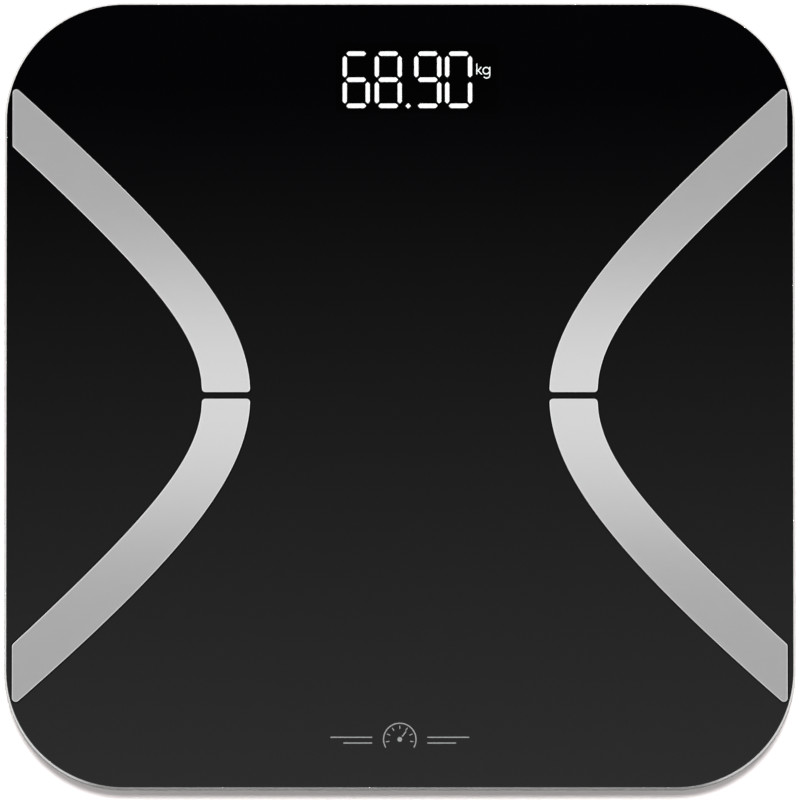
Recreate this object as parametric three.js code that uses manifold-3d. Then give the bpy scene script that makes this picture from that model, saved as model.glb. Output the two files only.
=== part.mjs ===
// A digital bathroom scale: a square platform of tempered glass with four steel electrodes on it and
// an LED display under it, carried on a moulded base with a load cell and a foot in each corner.
// Millimetres, +Z up. The origin is on the floor under the middle of the platform. +Y points to the
// rear, where the display is, and +X to the right of a person reading the display.

import * as THREE from 'three';
import { mergeVertices } from 'three/addons/utils/BufferGeometryUtils.js';
import Module from 'manifold-3d';

const wasm = await Module();
wasm.setup();

// ---------------------------------------------------------------- driving dimensions

const glass = { side: 302, corner: 45.7, thickness: 6, chamfer: 0.8, bottom: 19.5 };
glass.half = glass.side / 2;
glass.top = glass.bottom + glass.thickness;

// An electrode is bounded by two bent edges and by the side of the platform. A bent edge runs
// straight out of the corner and turns parallel to Y at its waist, beside the split between the
// rear and the front electrode: x = waist - bend + (bend^power + (slope * y)^power)^(1 / power).
const electrode = {
  thickness: 0.5,
  edgeRound: 0.2,
  splitGap: 2.5,
  sideMargin: 3.1,
  waistRound: 1.3,
  tipRound: 1.5,
  sideRound: 1.2,
  edgeSteps: 12,
  outerEdge: { waist: 75.4, bend: 44.2, slope: 1.149, power: 2.165 },
  rearInnerEdge: { waist: 57.1, bend: 69.9, slope: 1.227, power: 2.08 },
  frontInnerEdge: { waist: 57.1, bend: 84.6, slope: 1.299, power: 2.043 },
};
const stud = { x: 99, y: 60, radius: 2.5, hole: 3, bottom: 17 };

const cover = { half: 145, corner: 40, bottom: 5, rim: 18.9, wall: 2, bottomRound: 6, ribTop: 8.6 };
cover.floor = cover.bottom + cover.wall;
const flange = { inner: 138, thickness: 1.5 };
const tape = { outer: 144, inner: 138.5 };

const corner = { x: 105, y: 105 };
const foot = { radius: 19, hole: 21, bottom: 1, top: 7.5, neck: 9, peg: 2.5, pegTop: 11.9 };
const pad = { radius: 17, top: 2, grooveInner: 9, grooveOuter: 11, grooveDepth: 0.6 };
const collar = { radius: 23, top: 9 };
const cell = { half: 17, bottom: 10.5, top: 12.1, tongueHalf: 7.2, slot: 1.6, rootY: 9, pegHole: 2.8 };
const bracket = { half: 22, bottom: 9.5, pocketHalf: 17.3, reliefHalf: 12, reliefTop: 15 };
const coverScrew = { offset: -21, shank: 1.5, head: 3, headHeight: 1.6, top: 17, boss: 4.5, hole: 1.7 };
coverScrew.headTop = cover.bottom + 0.4 + coverScrew.headHeight;

const board = { x0: -34.5, x1: 47.5, y0: 103, y1: 139, bottom: 12, thickness: 1.6 };
board.top = board.bottom + board.thickness;
const boardScrews = { left: [-31, 107], right: [44, 135] };
const boardScrew = { shank: 1.1, head: 2.4, headHeight: 1.4, length: 5, post: 3 };

const digit = { width: 8.76, rowPitch: 10, y: 121.9, centres: [-16.65, -4.4, 10.7, 22.5] };
const segment = { width: 1.95, rise: 8.45, run: 7.8, tip: 0.95 };
const point = { x: 3.2, y: 111.9, half: 1.1 };
const unitSign = { x0: 28.7, x1: 34.9, y0: 121.8, y1: 128.8 };
const display = { x0: -26, x1: 39, y0: 106.9, y1: 136.9, top: 19.2, face: 1.4, wall: 1.6 };
const slotGap = 0.15;

const battery = { radius: 5.2, length: 44.5, nub: 1, nubRadius: 1.9, pitch: 11.3, z: 12.15 };
const tub = { y: 30, halfX: 25.5, halfY: 22.9, wall: 1.5, bottom: 6.9, roof: 17.7 };
const door = { halfX: 28.5, halfY: 30, thickness: 1.6, gap: 0.3, ledge: 2, ledgeWidth: 3 };
const hook = { x: 16, width: 6, slotWidth: 8, thickness: 1.6, top: 9.9, lip: 2, slotDepth: 5 };
const latch = { width: 14, thickness: 1.4, top: 9.4, slotWidth: 16 };
const contact = { x: 25.4, thickness: 0.4, half: 4.6, bottom: 7.4, top: 17.2 };
const spring = { baseRadius: 3.8, tipRadius: 2.3, turns: 3, wire: 0.35, tipX: 20.95 };

const unitButton = { x: -20, y: 112, radius: 4, bottom: 4.4, flange: 5.5, flangeTop: 7.5 };
const tactSwitch = { half: 3, bottom: 8.6, bore: 1.9, plunger: 1.6, plungerTop: 10 };
const chip = { x: 14, y: 120, half: 5, thickness: 1.2 };

const leadRadius = 0.8;
const touchGap = 0.3;
const sides = [['left', -1], ['right', 1]];
const ends = [['front', -1], ['rear', 1]];

// ---------------------------------------------------------------- finishes

function finish(color, roughness, metalness) {
  return new THREE.MeshStandardMaterial({ color, roughness, metalness });
}

const blackGlass = () => finish(0x0c0d0e, 0.06, 0);
const satinSteel = () => finish(0xc4c4c5, 0.32, 1);
const mouldedPlastic = () => finish(0x1c1d1e, 0.55, 0);
const greyPlastic = () => finish(0x3a3c3e, 0.6, 0);
const foamTape = () => finish(0x2a2a2b, 0.9, 0);
const softRubber = () => finish(0x26272a, 0.85, 0);
const springSteel = () => finish(0xb7b9bb, 0.35, 1);
const zincSteel = () => finish(0x9fa2a6, 0.4, 1);
const circuitBoard = () => finish(0x175c37, 0.5, 0);
const chipPlastic = () => finish(0x18181a, 0.45, 0);
const displayMask = () => finish(0x08090a, 0.6, 0);
const litDiffuser = () => finish(0xf4f6f8, 0.4, 0);
const batterySleeve = () => finish(0x3b5a78, 0.4, 0);
const redSleeve = () => finish(0xb0201c, 0.5, 0);
const blackSleeve = () => finish(0x161617, 0.5, 0);
const greySleeve = () => finish(0x9a9c9e, 0.55, 0);

// ---------------------------------------------------------------- solids

function toSolid(geometry) {
  const bare = geometry.clone();
  bare.deleteAttribute('normal');
  bare.deleteAttribute('uv');
  const merged = mergeVertices(bare, 1e-4);
  return new wasm.Manifold(new wasm.Mesh({
    numProp: 3,
    vertProperties: new Float32Array(merged.attributes.position.array),
    triVerts: new Uint32Array(merged.index.array),
  }));
}

function toGeometry(solid) {
  const mesh = solid.getMesh();
  const geometry = new THREE.BufferGeometry();
  geometry.setAttribute('position', new THREE.BufferAttribute(new Float32Array(mesh.vertProperties), 3));
  geometry.setIndex(new THREE.BufferAttribute(new Uint32Array(mesh.triVerts), 1));
  geometry.computeVertexNormals();
  return geometry;
}

function join(...solids) {
  return solids.reduce((whole, next) => whole.add(next));
}

function cut(solid, ...tools) {
  return tools.reduce((whole, tool) => whole.subtract(tool), solid);
}

function block(x0, x1, y0, y1, z0, z1) {
  const box = new THREE.BoxGeometry(x1 - x0, y1 - y0, z1 - z0);
  box.translate((x0 + x1) / 2, (y0 + y1) / 2, (z0 + z1) / 2);
  return toSolid(box);
}

function disc(x, y, radius, z0, z1, steps = 24) {
  const cylinder = new THREE.CylinderGeometry(radius, radius, z1 - z0, steps);
  cylinder.rotateX(Math.PI / 2);
  cylinder.translate(x, y, (z0 + z1) / 2);
  return toSolid(cylinder);
}

// A turned piece about the Z axis, from a profile of [radius, height] pairs that starts and ends on it.
function turned(profile, steps = 18) {
  const lathe = new THREE.LatheGeometry(profile.map(([r, z]) => new THREE.Vector2(r, z)), steps);
  lathe.rotateX(Math.PI / 2);
  return toSolid(lathe);
}

function slab(shape, z0, z1, curveSegments = 5) {
  const geometry = new THREE.ExtrudeGeometry(shape, { depth: z1 - z0, bevelEnabled: false, curveSegments });
  geometry.translate(0, 0, z0);
  return toSolid(geometry);
}

// The outline grows by edge between either face and the middle of the slab, in a chamfer or a round.
function slabWithEdge(shape, z0, z1, edge, edgeSteps, curveSegments = 5) {
  const geometry = new THREE.ExtrudeGeometry(shape, {
    depth: z1 - z0 - 2 * edge,
    bevelThickness: edge,
    bevelSize: edge,
    bevelSegments: edgeSteps,
    curveSegments,
  });
  geometry.translate(0, 0, z0 + edge);
  return toSolid(geometry);
}

function roundedSquare(half, radius) {
  const shape = new THREE.Shape();
  const inner = half - radius;
  shape.absarc(inner, inner, radius, 0, Math.PI / 2);
  shape.absarc(-inner, inner, radius, Math.PI / 2, Math.PI);
  shape.absarc(-inner, -inner, radius, Math.PI, Math.PI * 1.5);
  shape.absarc(inner, -inner, radius, Math.PI * 1.5, Math.PI * 2);
  shape.closePath();
  return shape;
}

function tube(points, radius, steps, halfSides = 3) {
  const path = new THREE.CatmullRomCurve3(points.map((p) => new THREE.Vector3(...p)), false, 'centripetal');
  const section = new THREE.Shape();
  section.absarc(0, 0, radius, 0, Math.PI * 2);
  const geometry = new THREE.ExtrudeGeometry(section, {
    steps,
    extrudePath: path,
    bevelEnabled: false,
    curveSegments: halfSides,
  });
  return toSolid(geometry);
}

function mesh(name, solid, material) {
  const piece = new THREE.Mesh(toGeometry(solid), material);
  piece.name = name;
  return piece;
}

function mirrorX(solid) {
  return solid.mirror([1, 0, 0]);
}

function mirrorY(solid) {
  return solid.mirror([0, 1, 0]);
}

// The solid made for the rear right quarter, in the quarter that the two signs name.
function inQuarter(solid, signX, signY) {
  const sided = signX < 0 ? mirrorX(solid) : solid;
  return signY < 0 ? mirrorY(sided) : sided;
}

function inAllQuarters(solid) {
  return sides.flatMap(([, signX]) => ends.map(([, signY]) => inQuarter(solid, signX, signY)));
}

// ---------------------------------------------------------------- glass platform and electrodes

function glassPlatform() {
  const shape = roundedSquare(glass.half - glass.chamfer, glass.corner - glass.chamfer);
  const plate = slabWithEdge(shape, glass.bottom, glass.top, glass.chamfer, 1);
  const hole = disc(stud.x, stud.y, stud.hole, glass.bottom - 1, glass.top + 1, 16);
  return mesh('glass_platform', cut(plate, ...inAllQuarters(hole)), blackGlass());
}

function bentEdgeX({ waist, bend, slope, power }, y) {
  return waist - bend + (bend ** power + (slope * y) ** power) ** (1 / power);
}

function bentEdgeY({ waist, bend, slope, power }, x) {
  return ((x - waist + bend) ** power - bend ** power) ** (1 / power) / slope;
}

function bentEdgePoints(edge, y0, y1) {
  const points = [];
  for (let i = 0; i <= electrode.edgeSteps; i += 1) {
    const y = y0 + ((y1 - y0) * i) / electrode.edgeSteps;
    points.push(new THREE.Vector2(bentEdgeX(edge, y), y));
  }
  return points;
}

// Points of the arc that rounds a corner between two nearly straight edges.
function cornerArc(before, at, after, radius, steps = 4) {
  const toBefore = before.clone().sub(at).normalize();
  const toAfter = after.clone().sub(at).normalize();
  const halfAngle = Math.acos(toBefore.dot(toAfter)) / 2;
  const reach = radius / Math.tan(halfAngle);
  const middle = toBefore.clone().add(toAfter).normalize().multiplyScalar(radius / Math.sin(halfAngle));
  const centre = at.clone().add(middle);
  const start = at.clone().addScaledVector(toBefore, reach).sub(centre);
  const turn = Math.sign(toBefore.cross(toAfter)) * (Math.PI - 2 * halfAngle);
  const arc = [];
  for (let i = 0; i <= steps; i += 1) {
    arc.push(start.clone().rotateAround(new THREE.Vector2(), -(turn * i) / steps).add(centre));
  }
  return arc;
}

function electrodeShape(innerEdge, inset) {
  const sideX = glass.half - electrode.sideMargin;
  const splitY = electrode.splitGap / 2;
  const inner = bentEdgePoints(innerEdge, splitY, bentEdgeY(innerEdge, sideX));
  const outer = bentEdgePoints(electrode.outerEdge, bentEdgeY(electrode.outerEdge, sideX), splitY);
  const corners = [...inner, ...outer];
  const rounds = new Map([
    [0, electrode.waistRound],
    [inner.length - 1, electrode.tipRound],
    [inner.length, electrode.sideRound],
    [corners.length - 1, electrode.waistRound],
  ]);
  const outline = corners.flatMap((at, i) => {
    if (!rounds.has(i)) return [at];
    const before = corners.at(i - 1);
    const after = corners[(i + 1) % corners.length];
    return cornerArc(before, at, after, rounds.get(i));
  });
  return new THREE.Shape(insetOutline(outline, inset));
}

// The outline moved inwards by a small distance, point by point along the bisector of its two edges.
function insetOutline(outline, distance) {
  return outline.map((at, i) => {
    const before = at.clone().sub(outline.at(i - 1)).normalize();
    const after = outline[(i + 1) % outline.length].clone().sub(at).normalize();
    const along = before.add(after).normalize();
    return new THREE.Vector2(at.x + along.y * distance, at.y - along.x * distance);
  });
}

function electrodePlate(innerEdge) {
  const round = electrode.edgeRound;
  const outline = electrodeShape(innerEdge, round);
  const whole = slabWithEdge(outline, glass.top - electrode.thickness, glass.top + electrode.thickness, round, 1);
  const above = block(0, glass.half, 0, glass.half, glass.top, glass.top + 2 * electrode.thickness);
  return whole.intersect(above);
}

function electrodes() {
  const pin = disc(stud.x, stud.y, stud.radius, stud.bottom, glass.top + electrode.thickness / 2, 12);
  const byEnd = {
    rear: join(electrodePlate(electrode.rearInnerEdge), pin),
    front: join(electrodePlate(electrode.frontInnerEdge), pin),
  };
  return ends.flatMap(([end, sy]) => sides.map(([side, sx]) => (
    mesh(`electrode_${end}_${side}`, inQuarter(byEnd[end], sx, sy), satinSteel())
  )));
}

function perimeterTape() {
  const outer = slab(roundedSquare(tape.outer, cornerAt(tape.outer)), cover.rim, glass.bottom);
  const inner = slab(roundedSquare(tape.inner, cornerAt(tape.inner)), cover.rim - 1, glass.bottom + 1);
  return mesh('perimeter_tape', cut(outer, inner), foamTape());
}

// ---------------------------------------------------------------- base cover

// The corner radius of a square of this half width, concentric with the corners of the cover.
function cornerAt(half) {
  return cover.corner - (cover.half - half);
}

function traySolid(half, bottom, round) {
  const shape = roundedSquare(half - round, cornerAt(half) - round);
  const tall = slabWithEdge(shape, bottom, bottom + 2 * glass.bottom, round, 3, 4);
  return tall.intersect(block(-half, half, -half, half, bottom, cover.rim));
}

function coverShell() {
  const outer = traySolid(cover.half, cover.bottom, cover.bottomRound);
  const hollow = traySolid(cover.half - cover.wall, cover.floor, cover.bottomRound - cover.wall);
  const rimBottom = cover.rim - flange.thickness;
  const rimOuter = cover.half - cover.wall / 2;
  const rim = cut(
    slab(roundedSquare(rimOuter, cornerAt(rimOuter)), rimBottom, cover.rim),
    slab(roundedSquare(flange.inner, cornerAt(flange.inner)), rimBottom - 1, cover.rim + 1),
  );
  return join(cut(outer, hollow), rim);
}

function coverRibs() {
  const reach = cover.half - cover.bottomRound;
  const ribHalf = 0.6;
  const along = [-75, -35, 80].map((y) => (
    block(-reach, reach, y - ribHalf, y + ribHalf, cover.floor - 0.5, cover.ribTop)
  ));
  const across = [-50, 50].map((x) => (
    block(x - ribHalf, x + ribHalf, -reach, board.y0 - 3, cover.floor - 0.5, cover.ribTop)
  ));
  return join(...along, ...across);
}

function quarterAdditions() {
  const screwX = corner.x + coverScrew.offset;
  const screwY = corner.y + coverScrew.offset;
  return join(
    disc(corner.x, corner.y, collar.radius, cover.floor - 1, collar.top),
    disc(screwX, screwY, coverScrew.boss, cover.floor - 1, bracket.bottom - touchGap / 2, 12),
  );
}

function quarterCuts() {
  const screwX = corner.x + coverScrew.offset;
  const screwY = corner.y + coverScrew.offset;
  return join(
    disc(corner.x, corner.y, foot.hole, 0, cover.rim),
    disc(screwX, screwY, coverScrew.hole, 0, cover.rim, 8),
    disc(screwX, screwY, coverScrew.head + touchGap, 0, coverScrew.headTop, 12),
  );
}

function boardPosts() {
  return join(...Object.values(boardScrews).map(([x, y]) => (
    disc(x, y, boardScrew.post, cover.floor - 1, board.bottom, 12)
  )));
}

function boardPostBores() {
  return join(...Object.values(boardScrews).map(([x, y]) => (
    disc(x, y, boardScrew.shank + 0.15, cover.floor, board.bottom + 1, 8)
  )));
}

function tubWalls() {
  const outerX = tub.halfX + tub.wall;
  const outerY = tub.halfY + tub.wall;
  const ledgeX = door.halfX + door.gap + door.ledgeWidth;
  const ledgeY = door.halfY + door.gap + door.ledgeWidth;
  return join(
    block(-outerX, outerX, tub.y - outerY, tub.y + outerY, tub.bottom, cover.rim),
    block(-ledgeX, ledgeX, tub.y - ledgeY, tub.y + ledgeY, tub.bottom, tub.bottom + door.ledge),
  );
}

function tubHollow() {
  const y0 = tub.y - tub.halfY;
  const y1 = tub.y + tub.halfY;
  return block(-tub.halfX, tub.halfX, y0, y1, cover.bottom - 1, tub.roof);
}

function doorOpening() {
  const x = door.halfX + door.gap;
  const y = door.halfY + door.gap;
  const edgeY = tub.y - door.halfY;
  const latchY = tub.y + door.halfY;
  const slotTop = tub.bottom + door.ledge + 1;
  const hookSlots = sides.map(([, sx]) => block(
    sx * hook.x - hook.slotWidth / 2,
    sx * hook.x + hook.slotWidth / 2,
    edgeY - door.gap,
    edgeY + hook.slotDepth,
    cover.bottom,
    slotTop,
  ));
  const latchSlot = block(
    -latch.slotWidth / 2,
    latch.slotWidth / 2,
    latchY - 2 * latch.thickness - door.gap,
    latchY + door.gap,
    cover.bottom,
    slotTop,
  );
  return join(block(-x, x, tub.y - y, tub.y + y, 0, tub.bottom), ...hookSlots, latchSlot);
}

function fingerNotch() {
  const y = tub.y + door.halfY;
  return join(
    block(-8, 8, y, y + 5, 0, cover.bottom + 1),
    disc(0, y + 5, 8, 0, cover.bottom + 1, 20),
  );
}

// Slots in the left wall of the tub for the tails of the two end contacts.
function tailSlots() {
  return join(...[batteryY(0), batteryY(3)].map((y) => (
    block(-tub.halfX - tub.wall - 1, -tub.halfX + 1, y - 1.9, y + 1.9, 13.6, 14.8)
  )));
}

function buttonHole() {
  const gap = 0.3;
  return join(
    disc(unitButton.x, unitButton.y, unitButton.radius + gap, 0, cover.rim, 20),
    disc(unitButton.x, unitButton.y, unitButton.flange + 2 * gap, cover.floor, cover.rim, 20),
  );
}

function baseCover() {
  const added = join(coverShell(), coverRibs(), boardPosts(), tubWalls(), ...inAllQuarters(quarterAdditions()));
  const opened = cut(added, tubHollow(), doorOpening(), fingerNotch(), tailSlots(), buttonHole());
  return mesh('base_cover', cut(opened, boardPostBores(), ...inAllQuarters(quarterCuts())), mouldedPlastic());
}

// ---------------------------------------------------------------- corner assemblies

function footSolid() {
  return turned([
    [0, pad.top],
    [pad.radius + 0.2, pad.top],
    [pad.radius + 0.2, foot.bottom],
    [foot.radius - 0.6, foot.bottom],
    [foot.radius, foot.bottom + 0.6],
    [foot.radius, foot.top],
    [foot.neck, foot.top],
    [foot.neck, cell.bottom],
    [foot.peg, cell.bottom],
    [foot.peg, foot.pegTop],
    [0, foot.pegTop],
  ]);
}

function padSolid() {
  return turned([
    [0, 0],
    [pad.grooveInner, 0],
    [pad.grooveInner, pad.grooveDepth],
    [pad.grooveOuter, pad.grooveDepth],
    [pad.grooveOuter, 0],
    [pad.radius - 0.8, 0],
    [pad.radius, 0.8],
    [pad.radius, pad.top],
    [0, pad.top],
  ]);
}

// A square steel plate with a U-shaped slot that leaves a tongue, which the foot's peg pushes up.
function cellSolid() {
  const outer = cell.tongueHalf + cell.slot;
  const slot = new THREE.Shape([
    [-outer, cell.rootY],
    [-outer, -outer],
    [outer, -outer],
    [outer, cell.rootY],
    [cell.tongueHalf, cell.rootY],
    [cell.tongueHalf, -cell.tongueHalf],
    [-cell.tongueHalf, -cell.tongueHalf],
    [-cell.tongueHalf, cell.rootY],
  ].map(([x, y]) => new THREE.Vector2(x, y)));
  const plate = slab(roundedSquare(cell.half, 3), cell.bottom, cell.top, 2);
  return cut(
    plate,
    slab(slot, cell.bottom - 1, cell.top + 1),
    disc(0, 0, cell.pegHole, cell.bottom - 1, cell.top + 1, 12),
  );
}

function bracketSolid() {
  const { half, bottom, pocketHalf, reliefHalf } = bracket;
  const lipBottom = cell.bottom - 0.9;
  const lips = [-1, 1].map((s) => block(
    -5,
    5,
    Math.min(s * (pocketHalf - 1.2), s * (pocketHalf + 1)),
    Math.max(s * (pocketHalf - 1.2), s * (pocketHalf + 1)),
    bottom,
    lipBottom + 0.8,
  ));
  const screw = coverScrew.offset;
  const body = join(
    slab(roundedSquare(half, 3), bottom, glass.bottom, 2),
    disc(screw, screw, coverScrew.boss + 0.5, bottom, glass.bottom, 12),
  );
  const hollowed = cut(
    body,
    slab(roundedSquare(pocketHalf, 2), bottom - 1, cell.top, 1),
    block(-reliefHalf, reliefHalf, -reliefHalf, reliefHalf, cell.top - 1, bracket.reliefTop),
    disc(screw, screw, coverScrew.hole, bottom - 1, coverScrew.top + 0.4, 8),
    block(-half - 1, -pocketHalf + 1, 6, 10, bottom - 1, cell.top + 1.5),
  );
  return join(hollowed, ...lips);
}

function screwSolid(head, headHeight, shank, length) {
  const drive = block(-head * 0.55, head * 0.55, -0.3, 0.3, -1, headHeight * 0.4);
  const driveAcross = block(-0.3, 0.3, -head * 0.55, head * 0.55, -1, headHeight * 0.4);
  const body = turned([
    [0, 0],
    [head * 0.8, 0],
    [head, headHeight * 0.35],
    [head, headHeight],
    [shank, headHeight],
    [shank, headHeight + length],
    [0, headHeight + length],
  ], 8);
  return cut(body, drive, driveAcross);
}

function coverScrewSolid() {
  const headBottom = coverScrew.headTop - coverScrew.headHeight;
  const length = coverScrew.top - coverScrew.headTop;
  const screw = screwSolid(coverScrew.head, coverScrew.headHeight, coverScrew.shank, length);
  return screw.translate([coverScrew.offset, coverScrew.offset, headBottom]);
}

// One corner, built round its foot's axis and turned so that its inner diagonal meets the middle.
function cornerAssembly(end, side, signX, signY) {
  const assembly = new THREE.Group();
  assembly.position.set(signX * corner.x, signY * corner.y, 0);
  const at = `${end}_${side}`;
  const turn = (solid) => inQuarter(solid, signX, signY);
  assembly.add(
    mesh(`foot_${at}`, turn(footSolid()), mouldedPlastic()),
    mesh(`foot_pad_${at}`, turn(padSolid()), softRubber()),
    mesh(`load_cell_${at}`, turn(cellSolid()), springSteel()),
    mesh(`load_cell_bracket_${at}`, turn(bracketSolid()), greyPlastic()),
    mesh(`cover_screw_${at}`, turn(coverScrewSolid()), zincSteel()),
  );
  return assembly;
}

// ---------------------------------------------------------------- circuit board and display

function mainBoard() {
  const plate = block(board.x0, board.x1, board.y0, board.y1, board.bottom, board.top);
  const holes = Object.values(boardScrews).map(([x, y]) => (
    disc(x, y, boardScrew.shank + 0.15, board.bottom - 1, board.top + 1, 8)
  ));
  return mesh('main_board', cut(plate, ...holes), circuitBoard());
}

function boardScrewMeshes() {
  const screw = screwSolid(boardScrew.head, boardScrew.headHeight, boardScrew.shank, boardScrew.length);
  const headUp = screw.rotate([180, 0, 0]);
  return Object.entries(boardScrews).map(([side, [x, y]]) => {
    const placed = headUp.translate([x, y, board.top + boardScrew.headHeight]);
    return mesh(`board_screw_${side}`, placed, zincSteel());
  });
}

function controllerChip() {
  const { x, y, half, thickness } = chip;
  const body = block(x - half, x + half, y - half, y + half, board.bottom - thickness, board.bottom);
  return mesh('controller_chip', body, chipPlastic());
}

// The seven bars of a digit: centre and whether the bar lies along X.
function digitBars(centreX) {
  const half = digit.width / 2;
  const level = (row) => ({ x: centreX, y: digit.y + row * digit.rowPitch, flat: true });
  const upright = (side, row) => ({
    x: centreX + side * half,
    y: digit.y + (row * digit.rowPitch) / 2,
    flat: false,
  });
  return [level(-1), level(0), level(1), upright(-1, -1), upright(-1, 1), upright(1, -1), upright(1, 1)];
}

function barShape({ x, y, flat }, inset) {
  const long = (flat ? segment.run : segment.rise) / 2 - inset;
  const wide = segment.width / 2 - inset;
  const shoulder = long - segment.tip;
  const outline = [[long, 0], [shoulder, wide], [-shoulder, wide], [-long, 0], [-shoulder, -wide], [shoulder, -wide]];
  return new THREE.Shape(outline.map(([a, b]) => (
    flat ? new THREE.Vector2(x + a, y + b) : new THREE.Vector2(x - b, y + a)
  )));
}

function pointShape(inset) {
  const half = point.half - inset;
  const outline = [[half, 0], [0, half], [-half, 0], [0, -half]];
  return new THREE.Shape(outline.map(([a, b]) => new THREE.Vector2(point.x + a, point.y + b)));
}

// Every lit window of the display, each smaller than its opening by inset.
function displayWindows(inset, z0, z1) {
  const bars = digit.centres.flatMap((x) => digitBars(x)).map((bar) => slab(barShape(bar, inset), z0, z1));
  const sign = block(
    unitSign.x0 + inset,
    unitSign.x1 - inset,
    unitSign.y0 + inset,
    unitSign.y1 - inset,
    z0,
    z1,
  );
  return join(...bars, slab(pointShape(inset), z0, z1), sign);
}

function displayHousing() {
  const { x0, x1, y0, y1, top, wall } = display;
  const faceBottom = top - display.face;
  const body = block(x0, x1, y0, y1, board.top, top);
  const hollow = block(x0 + wall, x1 - wall, y0 + wall, y1 - wall, board.top - 1, faceBottom);
  return mesh('display_housing', cut(body, hollow, displayWindows(0, faceBottom - 1, top + 1)), displayMask());
}

function displayDiffuser() {
  const { x0, x1, y0, y1, top, wall } = display;
  const clear = wall + touchGap;
  const faceBottom = top - display.face;
  const body = block(x0 + clear, x1 - clear, y0 + clear, y1 - clear, board.top + touchGap, faceBottom);
  return mesh('display_diffuser', join(body, displayWindows(slotGap, faceBottom - 0.5, top - 0.1)), litDiffuser());
}

// ---------------------------------------------------------------- unit button and its switch

function unitButtonMesh() {
  const { x, y, radius, bottom, flangeTop } = unitButton;
  const cap = turned([
    [0, bottom],
    [radius - 0.5, bottom],
    [radius, bottom + 0.5],
    [radius, cover.floor + 0.1],
    [unitButton.flange, cover.floor + 0.1],
    [unitButton.flange, flangeTop],
    [0, flangeTop],
  ]);
  return mesh('unit_button', cap.translate([x, y, 0]), greyPlastic());
}

function switchPlunger() {
  const rod = disc(unitButton.x, unitButton.y, tactSwitch.plunger, unitButton.flangeTop, tactSwitch.plungerTop, 14);
  return mesh('switch_plunger', rod, chipPlastic());
}

function tactSwitchMesh() {
  const { half, bottom, bore, plungerTop } = tactSwitch;
  const { x, y } = unitButton;
  const body = block(x - half, x + half, y - half, y + half, bottom, board.bottom);
  return mesh('tact_switch', cut(body, disc(x, y, bore, bottom - 1, plungerTop + 1, 14)), zincSteel());
}

// ---------------------------------------------------------------- batteries, contacts and door

function batteryY(index) {
  return tub.y + (index - 1.5) * battery.pitch;
}

// The side that a cell's positive end faces, alternating so that the four are in series.
function positiveSide(index) {
  return index % 2 === 0 ? 1 : -1;
}

function batterySolid() {
  const { radius, length, nub, nubRadius } = battery;
  const shoulder = length - nub;
  return turned([
    [0, 0.2],
    [3, 0.2],
    [3, 0],
    [radius - 0.4, 0],
    [radius, 0.4],
    [radius, shoulder - 0.5],
    [radius - 0.5, shoulder],
    [nubRadius, shoulder],
    [nubRadius, length],
    [0, length],
  ], 12);
}

function batteries() {
  const positiveEnd = contact.x - contact.thickness - 1;
  const lying = batterySolid().rotate([0, 90, 0]).translate([positiveEnd - battery.length, 0, 0]);
  return [0, 1, 2, 3].map((index) => {
    const turnedSolid = positiveSide(index) > 0 ? lying : mirrorX(lying);
    const placed = turnedSolid.translate([0, batteryY(index), battery.z]);
    return mesh(`battery_${index + 1}`, placed, batterySleeve());
  });
}

// A plate on the right wall of the tub, from the first to the last cell that it serves.
function contactPlate(yFirst, yLast) {
  const { x, thickness, half, bottom, top } = contact;
  return block(x - thickness, x, yFirst - half, yLast + half, bottom, top);
}

function contactBump(y) {
  const inner = contact.x - contact.thickness - 0.8;
  return disc(0, 0, 2.3, 0, 1, 12).rotate([0, 90, 0]).translate([inner, y, battery.z]);
}

function contactSpring(y) {
  const steps = spring.turns * 8;
  const start = contact.x - contact.thickness / 2;
  const coil = [];
  for (let i = 0; i <= steps; i += 1) {
    const share = i / steps;
    const angle = share * spring.turns * Math.PI * 2;
    const radius = THREE.MathUtils.lerp(spring.baseRadius, spring.tipRadius, share);
    const x = THREE.MathUtils.lerp(start, spring.tipX, share);
    coil.push([x, y + radius * Math.cos(angle), battery.z + radius * Math.sin(angle)]);
  }
  return tube(coil, spring.wire, steps, 2.5);
}

function contactTail(y) {
  return block(contact.x - contact.thickness, tub.halfX + tub.wall + 1.5, y - 1.6, y + 1.6, 14, 14.4);
}

function batteryContacts() {
  const [y1, y2, y3, y4] = [0, 1, 2, 3].map(batteryY);
  const bridge = (yBump, ySpring) => join(
    contactPlate(Math.min(yBump, ySpring), Math.max(yBump, ySpring)),
    contactBump(yBump),
    contactSpring(ySpring),
  );
  const negative = join(contactPlate(y1, y1), contactSpring(y1), contactTail(y1));
  const positive = join(contactPlate(y4, y4), contactBump(y4), contactTail(y4));
  return [
    mesh('contact_negative', mirrorX(negative), springSteel()),
    mesh('contact_positive', mirrorX(positive), springSteel()),
    mesh('contact_bridge_left', mirrorX(bridge(y2, y3)), springSteel()),
    mesh('contact_bridge_right_front', bridge(y1, y2), springSteel()),
    mesh('contact_bridge_right_rear', bridge(y3, y4), springSteel()),
  ];
}

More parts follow.
